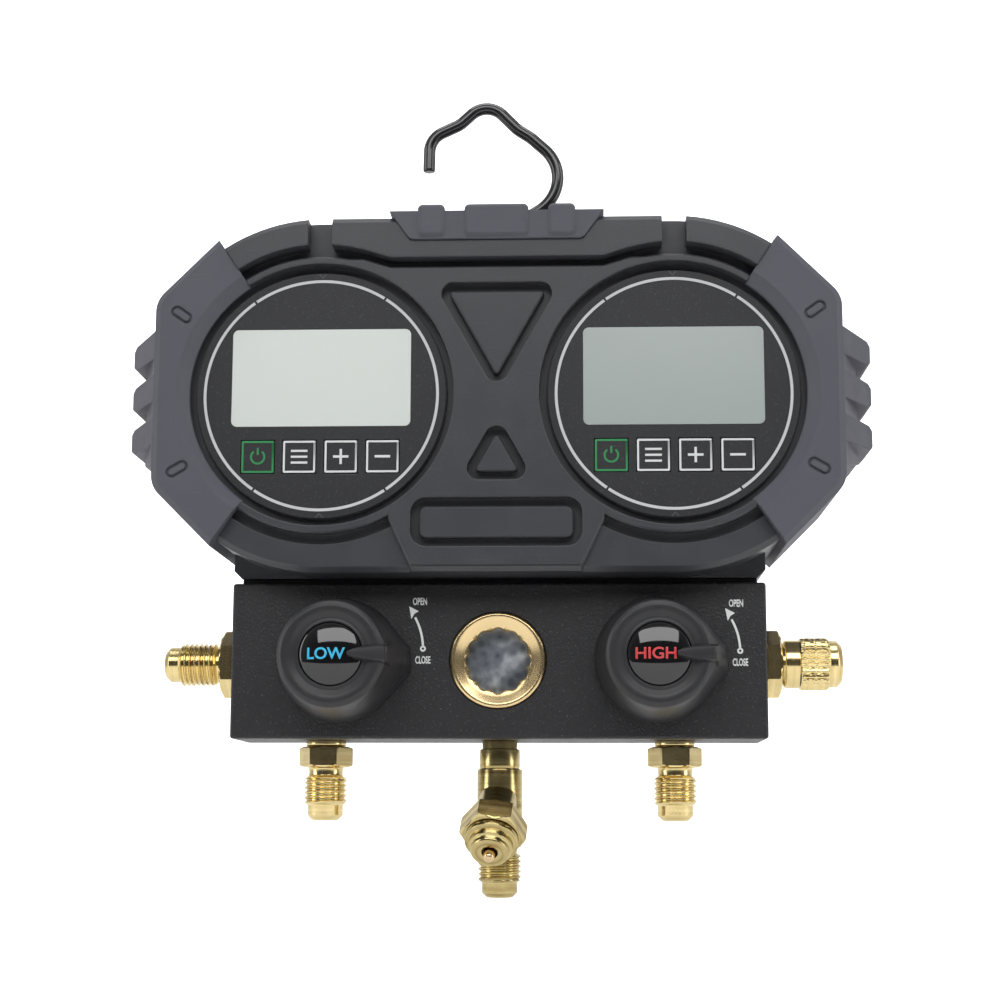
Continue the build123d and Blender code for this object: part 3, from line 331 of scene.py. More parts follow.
housing_plastic = skin("housing_plastic", (0.0366, 0.0378, 0.0439), (0.0476, 0.0488, 0.0561), 0.40, 0.05,
                       grain=2600.0, depth=0.018, peak_glints=0.12, scuffs=0.10, edge=0.5)
eased_solid("housing_front", "front_housing", housing_plastic, 0)
eased_solid("housing_rear", "rear_cover", housing_plastic, 0)
for side in ("low", "high"):
    eased_solid(side + "_battery_door", side + "_battery_cover", housing_plastic, 0.2)

# ----------------------------------------
# Bumpers and grip: soft grey rubber over the housing's corners and top, moulded
# separately and snapped on, with raised lugs and a satin, slightly dusty skin.
# ----------------------------------------

bumper_rubber = skin("bumper_rubber", (0.070, 0.070, 0.088), (0.084, 0.084, 0.104), 0.58, 0.06,
                     grain=2200.0, depth=0.012, peak_glints=0.05, scuffs=0.06, drift=35.0, level=0.42, edge=0.6)
eased_solid("left_guard", "left_bumper", bumper_rubber, 0)
eased_solid("right_guard", "right_bumper", bumper_rubber, 0)
eased_solid("grip_guard", "top_grip", bumper_rubber, 0)

# ----------------------------------------
# Gauge faces: a die-cut polyester film printed black, with a clear pane over the
# liquid-crystal display and four pressed-through keys, all stuck to the seat.
# ----------------------------------------

overlay_film = skin("overlay_film", (0.0105, 0.0110, 0.0130), (0.0145, 0.0150, 0.0175), 0.50, 0.03,
                    grain=2400.0, depth=0.020, peak_glints=0.30, drift=90.0)


def ink(name, colour, drifted, rough=0.5, grain=3000.0, depth=0.004):
    """A thin printed colour."""
    return skin(name, colour, drifted, rough, 0.05, grain=grain, depth=depth)


white_ink = ink("white_ink", (0.72, 0.73, 0.73), (0.80, 0.81, 0.80))
ring_ink = ink("ring_ink", (0.52, 0.53, 0.54), (0.60, 0.61, 0.62))
dark_ink = ink("dark_ink", (0.050, 0.051, 0.055), (0.065, 0.066, 0.070))
grey_ink = ink("grey_ink", (0.60, 0.62, 0.62), (0.70, 0.72, 0.71))
green_ink = ink("green_ink", (0.016, 0.20, 0.060), (0.022, 0.26, 0.08))
RING_R = 30.0
RING_W = 0.72
RING_BREAKS = [57.1, 125.3, 235.5, 304.0]
RING_GAP = 1.1
TICK_W, TICK_OUT, TICK_IN, TICK_LINE = 0.9, 31.6, 30.5, 0.3
KEY_SIZE, KEY_CORNER, KEY_LINE = 8.2, 0.45, 0.5
KEY_PITCH = 10.55
KEY_Z = -16.0
POWER_R, POWER_ARC, POWER_BAR = 1.95, (128, 412), (2.3, 0.5)
MENU_HALF, MENU_ROWS, MENU_LINE = 2.1, (1.5, 0.0, -1.5), 0.55
SIGN_HALF, SIGN_GAP, SIGN_LINE = 1.95, 0.3, 0.62
INK = 0.03


def printed(name, strips, place, front_y, coat, body):
    """Ink on a flat face: each strip is (outline A, outline B) of (x, z) points, and the ink is
    the ribbon between them, `INK` proud of the face, with its own thin edge all round."""
    surfaces = []
    for first, second in strips:
        first, second = np.asarray(first, float), np.asarray(second, float)
        rows = np.stack([first, first, second, second])
        count = rows.shape[1]
        depth = np.array([0.0, INK, INK, 0.0])[:, None]
        points = np.stack([place[0] + rows[..., 0], front_y - depth + 0 * rows[..., 0],
                           place[1] + rows[..., 1]], -1)
        faces, corners = grid_faces(4, count, wrap_rows=True, wrap_columns=False)
        ends = np.arange(4) * count + np.array([[0], [count - 1]])
        surfaces.append((points.reshape(-1, 3), np.concatenate([faces, ends]),
                         np.concatenate([corners * 0.1, np.zeros((2, 4, 2))])))
    piece(name, surfaces, body, coat)


def arc(radius, start, stop, centre=(0, 0)):
    """Points of a circular arc in degrees: centre + radius (cos a, sin a)."""
    a = np.radians(np.linspace(start, stop, max(4, int(abs(stop - start) / 2) + 2)))
    return np.stack([centre[0] + radius * np.cos(a), centre[1] + radius * np.sin(a)], -1)


def line(x0, z0, x1, z1, width):
    """Ribbon of one straight stroke: its two long sides."""
    along = np.array([x1 - x0, z1 - z0])
    across = np.array([-along[1], along[0]]) / np.linalg.norm(along) * width / 2
    ends = np.array([[x0, z0], [x1, z1]])
    return ends + across, ends - across


def frame_line(width, height, corner, stroke):
    """Ribbon of a rounded rectangle: the corner circles at two radii, one stroke apart."""
    loops = []
    for inset in (0.0, stroke):
        points = [arc(corner - inset * 0.7, start, start + 90,
                      (sx * (width / 2 - corner - inset * 0.3), sz * (height / 2 - corner - inset * 0.3)))
                  for start, sx, sz in ((0, 1, 1), (90, -1, 1), (180, -1, -1), (270, 1, -1))]
        loop = np.concatenate(points)
        loops.append(np.concatenate([loop, loop[:1]]))
    return tuple(loops)


def middle(node):
    """Middle of a CAD node's box, in millimetres."""
    low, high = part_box(node)
    return (np.array(low) + np.array(high)) / 2 / MM


for side in ("low", "high"):
    dial = middle(side + "_dial_overlay")
    face_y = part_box(side + "_dial_overlay")[0].y / MM
    eased_solid(side + "_face_film", side + "_dial_overlay", overlay_film, 0.12)
    spot = (dial[0], dial[2])
    ring = [tuple(arc(r, a + RING_GAP / 2, b - RING_GAP / 2) for r in (RING_R, RING_R - RING_W))
            for a, b in zip(RING_BREAKS, RING_BREAKS[1:] + [RING_BREAKS[0] + 360])]
    ticks = [line(way * TICK_W, flip * TICK_OUT, 0.0, flip * TICK_IN, TICK_LINE)
             for flip in (1, -1) for way in (1, -1)]
    printed(side + "_face_ring", ring, spot, face_y, ring_ink, "manifold")
    printed(side + "_face_ticks", ticks, spot, face_y, dark_ink, "manifold")
    for index, key in enumerate(("power", "menu", "plus", "minus")):
        x = (index - 1.5) * KEY_PITCH
        label = side + "_" + key
        key_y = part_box(label + "_key")[0].y / MM
        eased_solid(label + "_cap", label + "_key", overlay_film, 0.15, label + "_button")
        strokes = [frame_line(KEY_SIZE, KEY_SIZE, KEY_CORNER, KEY_LINE)]
        if key == "power":
            strokes += [tuple(arc(r, *POWER_ARC) for r in (POWER_R, POWER_R - KEY_LINE)),
                        line(0, POWER_BAR[0], 0, POWER_BAR[1], KEY_LINE)]
        elif key == "menu":
            strokes += [line(-MENU_HALF, z, MENU_HALF, z, MENU_LINE) for z in MENU_ROWS]
        else:
            strokes += [line(-SIGN_HALF, 0, SIGN_HALF, 0, SIGN_LINE)]
            if key == "plus":
                strokes += [line(0, SIGN_GAP, 0, SIGN_HALF, SIGN_LINE),
                            line(0, -SIGN_HALF, 0, -SIGN_GAP, SIGN_LINE)]
        printed(label + "_mark", strokes, (dial[0] + x, dial[2] + KEY_Z), key_y,
                green_ink if key == "power" else grey_ink, label + "_button")

# ----------------------------------------
# Displays: reflective liquid-crystal glass behind a clear hard-coated pane. Off, it
# shows its pale grey-green backing, a little darker towards its lower edge.
# ----------------------------------------


def display_glass(name, top, bottom):
    """Pale backing seen through the glass: colour runs down the pane, with a faint mottling."""
    coat, tree, shader = coated(name)
    spot = add(tree, "ShaderNodeTexCoord").outputs["Object"]
    height = add(tree, "ShaderNodeSeparateXYZ", {"Vector": spot}).outputs["Z"]
    fall = window(tree, height, -0.092, -0.063)
    drift = maths(tree, "MULTIPLY_ADD", noise(tree, spot, 45.0, 3.0), 0.10, fall)
    used = add(tree, "ShaderNodeGroup", {"Vector": spot}, node_tree=handling)
    feed(tree, shader, {"Base Color": mixed(tree, drift, (*bottom, 1), (*top, 1)),
                        "Roughness": ranged(tree, used.outputs["Smear"], 0.276, 0.278)})
    shader.inputs["Coat Weight"].default_value = 0.35
    shader.inputs["Coat Roughness"].default_value = 0.05
    return coat


panes = {"low": display_glass("low_display", (0.65, 0.69, 0.655), (0.62, 0.66, 0.625)),
         "high": display_glass("high_display", (0.40, 0.44, 0.425), (0.345, 0.385, 0.375))}
for side, coat in panes.items():
    eased_solid(side + "_display_pane", side + "_window", coat, 0.08)

# ----------------------------------------
# Manifold block: sawn aluminium bar, drilled through, with black textured powder
# coat. The valve directions are screen-printed on it in white.
# ----------------------------------------

# The powder coat's strong pale specks are painted glints on the peaks of its grain.
powder_coat = skin("powder_coat", (0.010, 0.010, 0.012), (0.014, 0.014, 0.016), 0.42, 0.04,
                   grain=1700.0, depth=0.26, peak_glints=0.60, drift=30.0, level=0.45)
seal_rubber = skin("seal_rubber", (0.012, 0.012, 0.012), (0.018, 0.018, 0.018), 0.7, 0.05, grain=1500.0)
eased_solid("block_body", "manifold_block", powder_coat, 0.4, segments=3)
eased_solid("neck_seal", "block_gasket", seal_rubber, 0.3)
CAST_OUT_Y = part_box("manifold_block")[0].y / MM
axis_z = middle("sight_glass_ring")[2]


def letters(name, words, height, width, place, front_y, coat, body, lift=None, heavy=0.02):
    """Plain capitals `height` tall and `width` wide in all, as a thin print on a face that looks
    along -Y. lift(x, z) raises each point on to a domed face; without it the face is flat.
    `heavy` thickens the strokes, in font sizes."""
    curve = bpy.data.curves.new(name, "FONT")
    curve.body = words
    curve.align_x = "CENTER"
    curve.resolution_u = 6
    curve.offset = heavy
    text = bpy.data.objects.new(name, curve)
    scene.collection.objects.link(text)
    bpy.context.view_layer.update()
    mesh = bpy.data.meshes.new_from_object(text.evaluated_get(bpy.context.evaluated_depsgraph_get()))
    bpy.data.objects.remove(text)
    if lift:
        work = bmesh.new()
        work.from_mesh(mesh)
        for _ in range(3):
            bmesh.ops.triangulate(work, faces=work.faces)
            long = [edge for edge in work.edges if edge.calc_length() > 0.12]
            bmesh.ops.subdivide_edges(work, edges=long, cuts=1)
        work.to_mesh(mesh)
        work.free()
    flat = np.zeros(len(mesh.vertices) * 3)
    mesh.vertices.foreach_get("co", flat)
    flat = flat.reshape(-1, 3)[:, :2]
    low, high = flat.min(0), flat.max(0)
    flat = (flat - (low + high) / 2) / (high - low) * [width, height]
    y = front_y - INK - (lift(flat[:, 0], flat[:, 1]) if lift else 0)
    points = np.stack([place[0] + flat[:, 0], y + 0 * flat[:, 0], place[1] + flat[:, 1]], -1) * MM
    mesh.vertices.foreach_set("co", points.ravel())
    obj = mounted(bpy.data.objects.new(name, mesh), body, coat)
    thick = obj.modifiers.new("ink", "SOLIDIFY")
    thick.thickness = INK * MM
    thick.offset = -1


# The words and the arrow are placed from the dot that the arrow starts at.
DOTS = {"low": (-19.0, 2.95), "high": (61.0, 2.3)}
OPEN_AT, OPEN_SIZE = (-0.85, 12.05), (3.6, 1.95)
CLOSE_AT, CLOSE_SIZE = (0.0, -2.85), (3.85, 1.95)
ARROW_TIP, ARROW_NOTCH = (-3.6, 10.8), (-2.25, 8.85)
ARROW_BACKS = [(-3.0, 7.55), (-1.15, 9.55)]
ARROW_BEND, ARROW_HALF, ARROW_ARC = 16.4, 0.29, (2.2, 29.0)
DOT_R, DOT_HOLE_R = 0.76, 0.3
for side, (dot_x, dot_z) in DOTS.items():
    dot = (dot_x, axis_z + dot_z)
    for text, spot, size in (("OPEN", OPEN_AT, OPEN_SIZE), ("CLOSE", CLOSE_AT, CLOSE_SIZE)):
        letters(side + "_" + text.lower() + "_word", text, size[1], size[0],
                (dot[0] + spot[0], dot[1] + spot[1]), CAST_OUT_Y, white_ink,
                "manifold", heavy=0.03)
    shaft = tuple(arc(ARROW_BEND + way * ARROW_HALF, *ARROW_ARC, (-ARROW_BEND, 0)) for way in (1, -1))
    heads = [(np.array([ARROW_TIP, back]), np.array([ARROW_TIP, ARROW_NOTCH])) for back in ARROW_BACKS]
    printed(side + "_turn_arrow", [shaft, tuple(arc(r, 0, 360) for r in (DOT_R, DOT_HOLE_R))] + heads,
            dot, CAST_OUT_Y, white_ink, "manifold")

# ----------------------------------------
# Knobs: moulded nylon with a dished front, a teardrop skirt and a raised pointer, each
# held by a screw under a glossy domed cap that is printed LOW or HIGH from behind.
# ----------------------------------------


def eased(profile, ease, steps=4):
    """Round each inner corner P of an open profile: (1-s)^2 A + 2s(1-s) P + s^2 B, with A and B
    `ease` before and after P, or nearer where a side is short."""
    profile = np.asarray(profile, float)
    before, corner, after = profile[:-2], profile[1:-1], profile[2:]
    back, ahead = before - corner, after - corner
    back_l = np.linalg.norm(back, axis=1, keepdims=True)
    ahead_l = np.linalg.norm(ahead, axis=1, keepdims=True)
    reach = np.minimum(ease, 0.42 * np.minimum(back_l, ahead_l))
    first = corner + back / np.maximum(back_l, 1e-9) * reach
    last = corner + ahead / np.maximum(ahead_l, 1e-9) * reach
    s = np.linspace(0, 1, steps)[None, :, None]
    rounded = (1 - s) ** 2 * first[:, None] + 2 * s * (1 - s) * corner[:, None] + s ** 2 * last[:, None]
    return np.concatenate([profile[:1], rounded.reshape(-1, 2), profile[-1:]])


def turned(profile, columns=96, cut=None, hollow=False):
    """Surface of revolution about local Z: (r cos a, r sin a, h) for each (r, h) of the profile,
    where cut(r, h, a) may change r. A hollow part's profile closes on itself through its bore."""
    profile = np.asarray(profile, float)
    angle = np.linspace(0, 2 * np.pi, columns, endpoint=False)[None, :]
    radius = np.repeat(profile[:, :1], columns, axis=1)
    height = np.repeat(profile[:, 1:], columns, axis=1)
    angle = np.repeat(angle, len(profile), axis=0)
    if cut:
        radius = cut(radius, height, angle)
    points = np.stack([radius * np.cos(angle), radius * np.sin(angle), height], -1)
    faces, corners = grid_faces(len(profile), columns, wrap_rows=hollow)
    run = np.linalg.norm(np.diff(np.concatenate([profile, profile[:1]]), axis=0), axis=1)
    run = np.concatenate([[0], np.cumsum(run)])
    uv = np.stack([corners[..., 0] / columns, run[corners[..., 1].astype(int)]], -1)
    return points.reshape(-1, 3), faces, uv


def placed(surface, origin, x_way, y_way, z_way):
    """The surface with its local axes turned to these directions, at the origin given."""
    points = surface[0] @ np.array([x_way, y_way, z_way], float) + np.array(origin, float)
    return points, surface[1], surface[2]


TO_FRONT = ((1, 0, 0), (0, 0, 1), (0, -1, 0))
DOWN = ((1, 0, 0), (0, -1, 0), (0, 0, -1))
KNOB_BASE_R = 15.7
KNOB_FRONT_R = 13.1
KNOB_H = 20.6
KNOB_DISH = 0.9
CAP_R = 7.75
CAP_DOME = 1.9
CAP_LOW = 0.7
POINTER_TIP = 4.3
POINTER_FRONT = 13.4
POINTER_BASE = 17.3
SKIRT_H = 17.0
NOSE_HALF = 3.2


def knob_cut(radius, height, angle):
    """Teardrop skirt: outside the round body the wall follows the two lines from the pointer's
    nose that touch it, r = R / cos(t - |a|), and the nose itself is flat at POINTER_BASE."""
    turn = np.abs((angle + np.pi) % (2 * np.pi) - np.pi)
    share = np.clip((SKIRT_H - height) / SKIRT_H, 0, 1) ** 0.8
    nose = radius + (POINTER_BASE - KNOB_BASE_R + 0.6) * share
    reach = np.hypot(nose, NOSE_HALF)
    touch = np.arccos(np.clip(radius / np.maximum(reach, 1e-6), 0, 1)) + np.arctan2(NOSE_HALF, nose)
    side_r = radius / np.cos(np.clip(touch - turn, 0, 1.2))
    lobe = np.minimum(side_r, nose / np.cos(np.clip(turn, 0, 1.2)))
    skirt = (radius > 0.8 * KNOB_FRONT_R) & (height < KNOB_H - 0.6) & (turn < touch)
    return np.where(skirt, np.maximum(radius, lobe), radius)


def wedge(stations):
    """Raised pointer: at each (x, half width, top, foot) the section is a roof of points across
    the pointer, so point = (x, w q, top or foot)."""
    st = np.asarray(stations, float)
    q = np.array([-1.0, -1.0, -0.72, 0.0, 0.72, 1.0, 1.0])
    top = np.array([0.0, 0.80, 1.0, 1.06, 1.0, 0.80, 0.0])
    x = np.repeat(st[:, :1], len(q), axis=1)
    y = st[:, 1:2] * q
    z = st[:, 3:4] + (st[:, 2:3] - st[:, 3:4]) * top
    points = np.stack([x, y, z], -1)
    first, last = points[:1].copy(), points[-1:].copy()
    first[..., 1:] = [[0.0, st[0, 3]]]
    last[..., 1:] = [[0.0, st[-1, 3]]]
    points = np.concatenate([first, points, last])
    faces, corners = grid_faces(len(points), len(q))
    return points.reshape(-1, 3), faces, corners * 0.5


knob_nylon = skin("knob_nylon", (0.014, 0.014, 0.016), (0.019, 0.019, 0.021), 0.46, 0.05,
                  grain=2600.0, depth=0.012, peak_glints=0.06, scuffs=0.10)
cap_black = skin("cap_black", (0.004, 0.004, 0.005), (0.006, 0.006, 0.007), 0.08, 0.04,
                 grain=300.0, depth=0.001, coat_weight=0.6, coat_rough=0.02)
blue_ink = ink("blue_ink", (0.035, 0.42, 0.68), (0.045, 0.48, 0.74), 0.35, 2500.0, 0.002)
red_ink = ink("red_ink", (0.55, 0.045, 0.050), (0.64, 0.06, 0.06), 0.35, 2500.0, 0.002)
CAP_BALL = (CAP_R ** 2 + CAP_DOME ** 2) / (2 * CAP_DOME)
WORD_H = 2.9
WORD_X = -0.9


def dome_height(x, z):
    """Height of the domed cap above its rim: the ball's surface, less its level at the rim."""
    return np.sqrt(CAP_BALL ** 2 - x ** 2 - z ** 2) - CAP_BALL + CAP_DOME


rim_z = KNOB_H - CAP_LOW
outer = eased([(0.0, 0.3), (KNOB_BASE_R, 0.3), (KNOB_BASE_R, 2.0), (KNOB_BASE_R - 0.5, 4.2),
               (KNOB_FRONT_R + 0.5, KNOB_H - 3.4), (KNOB_FRONT_R, KNOB_H - 0.9),
               (KNOB_FRONT_R - 1.1, KNOB_H), (KNOB_FRONT_R - 2.6, KNOB_H - 0.1),
               (CAP_R + 1.1, KNOB_H - KNOB_DISH), (CAP_R + 0.35, KNOB_H - KNOB_DISH + 0.25),
               (CAP_R + 0.1, KNOB_H - KNOB_DISH), (CAP_R + 0.1, rim_z - 1.6), (0.0, rim_z - 1.6)], 0.5, 5)
pointer = wedge([(POINTER_TIP, 0.5, rim_z + 2.0, rim_z - 1),
                 (POINTER_TIP + 1.4, 1.15, rim_z + 2.15, rim_z - 1), (8.0, 1.75, rim_z + 1.75, rim_z - 1),
                 (POINTER_FRONT - 0.5, 2.2, rim_z + 1.45, rim_z - 3), (POINTER_FRONT, 2.1, rim_z + 1.2, rim_z - 3)])
heel = wedge([(10.5, 2.4, rim_z - 0.2, 0.4), (POINTER_FRONT + 0.4, 2.5, rim_z - 0.5, 0.4),
              (POINTER_FRONT + 1.0, 2.7, rim_z - 1.4, 0.4), (POINTER_BASE - 0.6, 3.2, 5.0, 0.4),
              (POINTER_BASE, 3.1, 3.0, 0.4)])
knob_parts = (turned(outer, 240, knob_cut), pointer, heel)
dome_r = np.linspace(0, CAP_R - 0.25, 16)
crown = np.stack([dome_r, rim_z - 0.35 + dome_height(dome_r, 0)], -1)[::-1]
crown = np.concatenate([[(0.0, rim_z - 1.5), (CAP_R - 0.25, rim_z - 1.5), (CAP_R, rim_z - 1.0),
                         (CAP_R, rim_z - 0.45), (CAP_R - 0.1, rim_z - 0.34)], crown])
for side, colour, word, wide in (("low", blue_ink, "LOW", 9.3), ("high", red_ink, "HIGH", 9.9)):
    seat = (middle(side + "_bonnet")[0], CAST_OUT_Y, axis_z)
    piece(side + "_knob_body", [placed(part, seat, *TO_FRONT) for part in knob_parts],
          side + "_valve", knob_nylon, [side + "_knob"])
    piece(side + "_knob_dome", [placed(turned(crown, 128), seat, *TO_FRONT)],
          side + "_valve", cap_black, [side + "_knob_cap"])
    letters(side + "_knob_word", word, WORD_H, wide, (seat[0] + WORD_X, seat[2]), seat[1] - rim_z + 0.35,
            colour, side + "_valve", lambda x, z: dome_height(x + WORD_X, z))

# ----------------------------------------
# Sight glass: a turned brass ring pressed into the block, its opening milled to twelve
# scallops, over a thick lens. Oil behind the lens gives it a mottled grey-blue look.
# ----------------------------------------


def turning_effect():
    """Fine rings that a lathe tool leaves: noise along the profile only (the V of the UV map)."""
    group, start, end = effect("turning_marks", [("Vector", "Vector"), ("Pitch", "Float", 9.0)],
                               [("Height", "Float"), ("Band", "Float")])
    run = add(group, "ShaderNodeSeparateXYZ", {"Vector": start.outputs["Vector"]}).outputs["Y"]
    fine = add(group, "ShaderNodeTexNoise", {"W": run, "Scale": start.outputs["Pitch"], "Detail": 3.0},
               noise_dimensions="1D")
    band = add(group, "ShaderNodeTexNoise", {"W": run, "Scale": 0.7, "Detail": 2.0}, noise_dimensions="1D")
    feed(group, end, {"Height": fine.outputs["Fac"], "Band": band.outputs["Fac"]})
    return group


turning_marks = turning_effect()


def brass(name, colour, deep, rough, spread=0.05, depth=0.006):
    """Turned brass: the tone drifts between two brasses, tool marks ring it, and smears dull it."""
    coat, tree, shader = coated(name)
    coords = add(tree, "ShaderNodeTexCoord").outputs
    grained = add(tree, "ShaderNodeGroup", {"Vector": coords["Object"], "Scale": 900.0, "Drift Scale": 140.0},
                  node_tree=skin_grain)
    used = add(tree, "ShaderNodeGroup", {"Vector": coords["Object"], "Scale": 220.0}, node_tree=handling)
    marks = add(tree, "ShaderNodeGroup", {"Vector": coords["UV"]}, node_tree=turning_marks)
    drift = maths(tree, "MULTIPLY", grained.outputs["Tone"], marks.outputs["Band"])
    share = window(tree, drift, 0.12, 0.42)
    bump = bumped(tree, marks.outputs["Height"], depth)
    feed(tree, shader, {"Base Color": mixed(tree, share, (*colour, 1), (*deep, 1)),
                        "Roughness": ranged(tree, used.outputs["Smear"], rough, rough + spread),
                        "Normal": bump.outputs["Normal"]})
    shader.inputs["Metallic"].default_value = 1.0
    return coat


bright_brass = brass("bright_brass", (0.84, 0.69, 0.35), (0.66, 0.51, 0.23), 0.16)
satin_brass = brass("satin_brass", (0.80, 0.62, 0.34), (0.74, 0.56, 0.29), 0.25, spread=0.02, depth=0.0015)
warm_brass = brass("warm_brass", (0.66, 0.55, 0.26), (0.34, 0.25, 0.10), 0.18)
copper_tip = brass("copper_tip", (0.80, 0.58, 0.36), (0.66, 0.46, 0.26), 0.22)
RING_OUT = 12.1
STAR_R = 8.2
STAR_DEEP = 0.85
STAR_LOBES = 12
glass_at = (0.0, CAST_OUT_Y, axis_z)


def scallops(radius, height, angle):
    """Rounded lobes cut into the opening: r + depth (|cos(N a / 2)|^0.8 - 1) on the bore's own rows."""
    wave = np.abs(np.cos(STAR_LOBES / 2 * angle)) ** 0.8
    inner = radius < STAR_R + 0.35
    return np.where(inner, radius + STAR_DEEP * (wave - 1), radius)


ring_profile = eased([(10.5, -4.0), (RING_OUT, -4.0), (RING_OUT, 0.45), (RING_OUT - 0.5, 0.85),
                      (RING_OUT - 1.1, 0.80), (STAR_R + 0.9, -0.20), (STAR_R + 0.3, -0.45), (STAR_R, -0.90),
                      (STAR_R, -2.9), (STAR_R + 0.3, -4.0), (10.5, -4.0)], 0.22, 5)
piece("glass_ring", [placed(turned(ring_profile[:-1], 384, scallops, hollow=True), glass_at, *TO_FRONT)],
      "manifold", satin_brass, ["sight_glass_ring"])


def oiled_glass():
    """Thick glass over a wetted chamber: blue-grey blotches and bright foam at its edge."""
    coat, tree, shader = coated("oiled_glass")
    spot = add(tree, "ShaderNodeTexCoord").outputs["Object"]
    blotch = noise(tree, spot, 150.0, 5.0, 0.5, 0.3)
    cell = add(tree, "ShaderNodeTexVoronoi", {"Vector": spot, "Scale": 420.0}, feature="SMOOTH_F1")
    mix = maths(tree, "MULTIPLY_ADD", cell.outputs["Distance"], 0.55, blotch)
    ramp = add(tree, "ShaderNodeValToRGB", {"Fac": mix})
    stops = ramp.color_ramp.elements
    stops[0].position, stops[0].color = 0.45, (0.075, 0.085, 0.105, 1)
    stops[1].position, stops[1].color = 1.0, (0.46, 0.49, 0.52, 1)
    stops.new(0.74).color = (0.170, 0.190, 0.220, 1)
    bump = bumped(tree, mix, 0.12, 0.6)
    feed(tree, shader, {"Base Color": ramp.outputs["Color"], "Roughness": ranged(tree, blotch, 0.05, 0.30),
                        "Normal": bump.outputs["Normal"]})
    shader.inputs["Coat Weight"].default_value = 0.8
    shader.inputs["Coat Roughness"].default_value = 0.03
    return coat


lens_profile = eased([(0.0, -7.0), (9.3, -7.0), (9.3, -4.05), (8.0, -4.02), (6.0, -3.98), (0.0, -3.95)], 0.2)
piece("glass_lens", [placed(turned(lens_profile, 64), glass_at, *TO_FRONT)],
      "manifold", oiled_glass(), ["sight_glass_lens"])

# ----------------------------------------
# Flare ports: machined brass connectors screwed into the block, with a hexagon for the
# spanner, a 7/16-20 thread and a coned nose that seals on the hose.
# ----------------------------------------

BORE_R = 2.4
THREAD_R = 11.1 / 2
THREAD_PITCH = 1.27
THREAD_DEEP = 0.62
NOSE_R = 9.1 / 2
NECK_R = 8.8 / 2


def cutter(hexes=(), threads=()):
    """What is cut out of a turned bar. In each (from, to, across) the radius is at most the
    hexagon's, across / 2 / cos(a - nearest flat), with a corner at a = 0. In each (from, to)
    it drops by v * v * (3 - 2 v), where the valley v climbs one pitch a turn and fades at both ends."""
    def cut(radius, height, angle):
        flat = angle % (np.pi / 3) - np.pi / 6
        for start, stop, across in hexes:
            held = (height >= start - 1e-6) & (height <= stop + 1e-6)
            radius = np.where(held, np.minimum(radius, across / 2 / np.cos(flat)), radius)
        for start, stop in threads:
            turn = (height / THREAD_PITCH - angle / (2 * np.pi)) % 1.0
            valley = np.clip(1.12 - 2.24 * np.abs(turn - 0.5), 0, 1)
            valley = valley * valley * (3 - 2 * valley)
            fade = np.clip((height - start) / 0.7, 0, 1) * np.clip((stop - height) / 0.7, 0, 1)
            inside = radius > THREAD_R - 0.3
            radius = np.where(inside, radius - THREAD_DEEP * valley * fade, radius)
        return radius
    return cut


def finer(profile, start, stop, step=0.05):
    """The profile with rows added every `step` between two heights of its outer wall."""
    profile = np.asarray(profile, float)
    outer = int(np.argmax(profile[:, 1] >= stop - 1e-6))
    first = int(np.argmax(profile[:, 1] >= start - 1e-6))
    rows = np.arange(start + step, stop, step)
    radius = np.interp(rows, profile[first:outer + 1, 1], profile[first:outer + 1, 0])
    return np.concatenate([profile[:first + 1], np.stack([radius, rows], -1), profile[outer:]])


def nosed(end, start=0.0):
    """Coned nose of a flare fitting whose tip is at `end`, back down its bore to `start`."""
    return [(NOSE_R, end - 1.3), (NOSE_R - 1.25, end - 0.05), (BORE_R + 0.35, end),
            (BORE_R, end - 0.35), (BORE_R, start)]


def fitting(profile, end, start, fine, thread, hexes=()):
    """A flare fitting: its wall from the foot to the thread's end, a nose up to `end`, the bore, the
    rows that the thread needs between the two heights of `fine`, and its cuts."""
    profile = finer(eased(profile + nosed(end, start), 0.18, 3), *fine)
    return turned(profile[:-1], cut=cutter(hexes, [thread]), hollow=True)


HEX_CORNER = 1.155 / 2
SIDE_HEX = 15.0
HOSE_HEX = 12.0
SIDE_FACE_X = 67.8
THREAD_AT = 5.8
hexed = SIDE_HEX * HEX_CORNER
for side, way, thread in (("low", -1, 9.6), ("high", 1, 8.0)):
    stop = THREAD_AT + thread
    profile = [(BORE_R, 0.05), (7.3, 0.05), (hexed, 0.55), (hexed, 3.95), (7.3, 4.5), (NECK_R + 0.2, 4.55),
               (NECK_R, 4.8), (NECK_R, 5.6), (THREAD_R, 6.25), (THREAD_R, stop - 0.6), (NOSE_R, stop)]
    surface = fitting(profile, stop + 3.9, 0.05, (6.35, stop - 0.65), (6.0, stop - 0.2),
                      [(0.0, 4.52, SIDE_HEX)])
    piece(side + "_side_fitting",
          [placed(surface, (way * SIDE_FACE_X, 0.0, axis_z), (0, 0, -way), (0, 1, 0), (way, 0, 0))],
          "manifold", bright_brass, [side + "_side_port"])
block_foot_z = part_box("manifold_block")[0].z / MM
hexed = HOSE_HEX * HEX_CORNER
profile = [(BORE_R, 0.02), (5.15, 0.02), (5.15, 1.25), (4.6, 1.5), (5.75, 1.52), (hexed, 1.95), (hexed, 6.35),
           (5.75, 6.8), (NECK_R + 0.3, 6.85), (NECK_R, 7.2), (NECK_R, 8.9), (THREAD_R, 9.6),
           (THREAD_R, 15.8), (NOSE_R, 16.4)]
surface = fitting(profile, 20.3, 0.02, (9.7, 15.7), (9.3, 16.1), [(1.51, 6.82, HOSE_HEX)])
for side in ("low", "high"):
    root = (middle(side + "_hose_port")[0], 0, block_foot_z)
    piece(side + "_hose_fitting", [placed(surface, root, *DOWN)],
          "manifold", bright_brass, [side + "_hose_port"])

# ----------------------------------------
# Cap: turned brass, diamond-knurled in the middle, screwed on the high side port over
# a rubber seal.
# ----------------------------------------

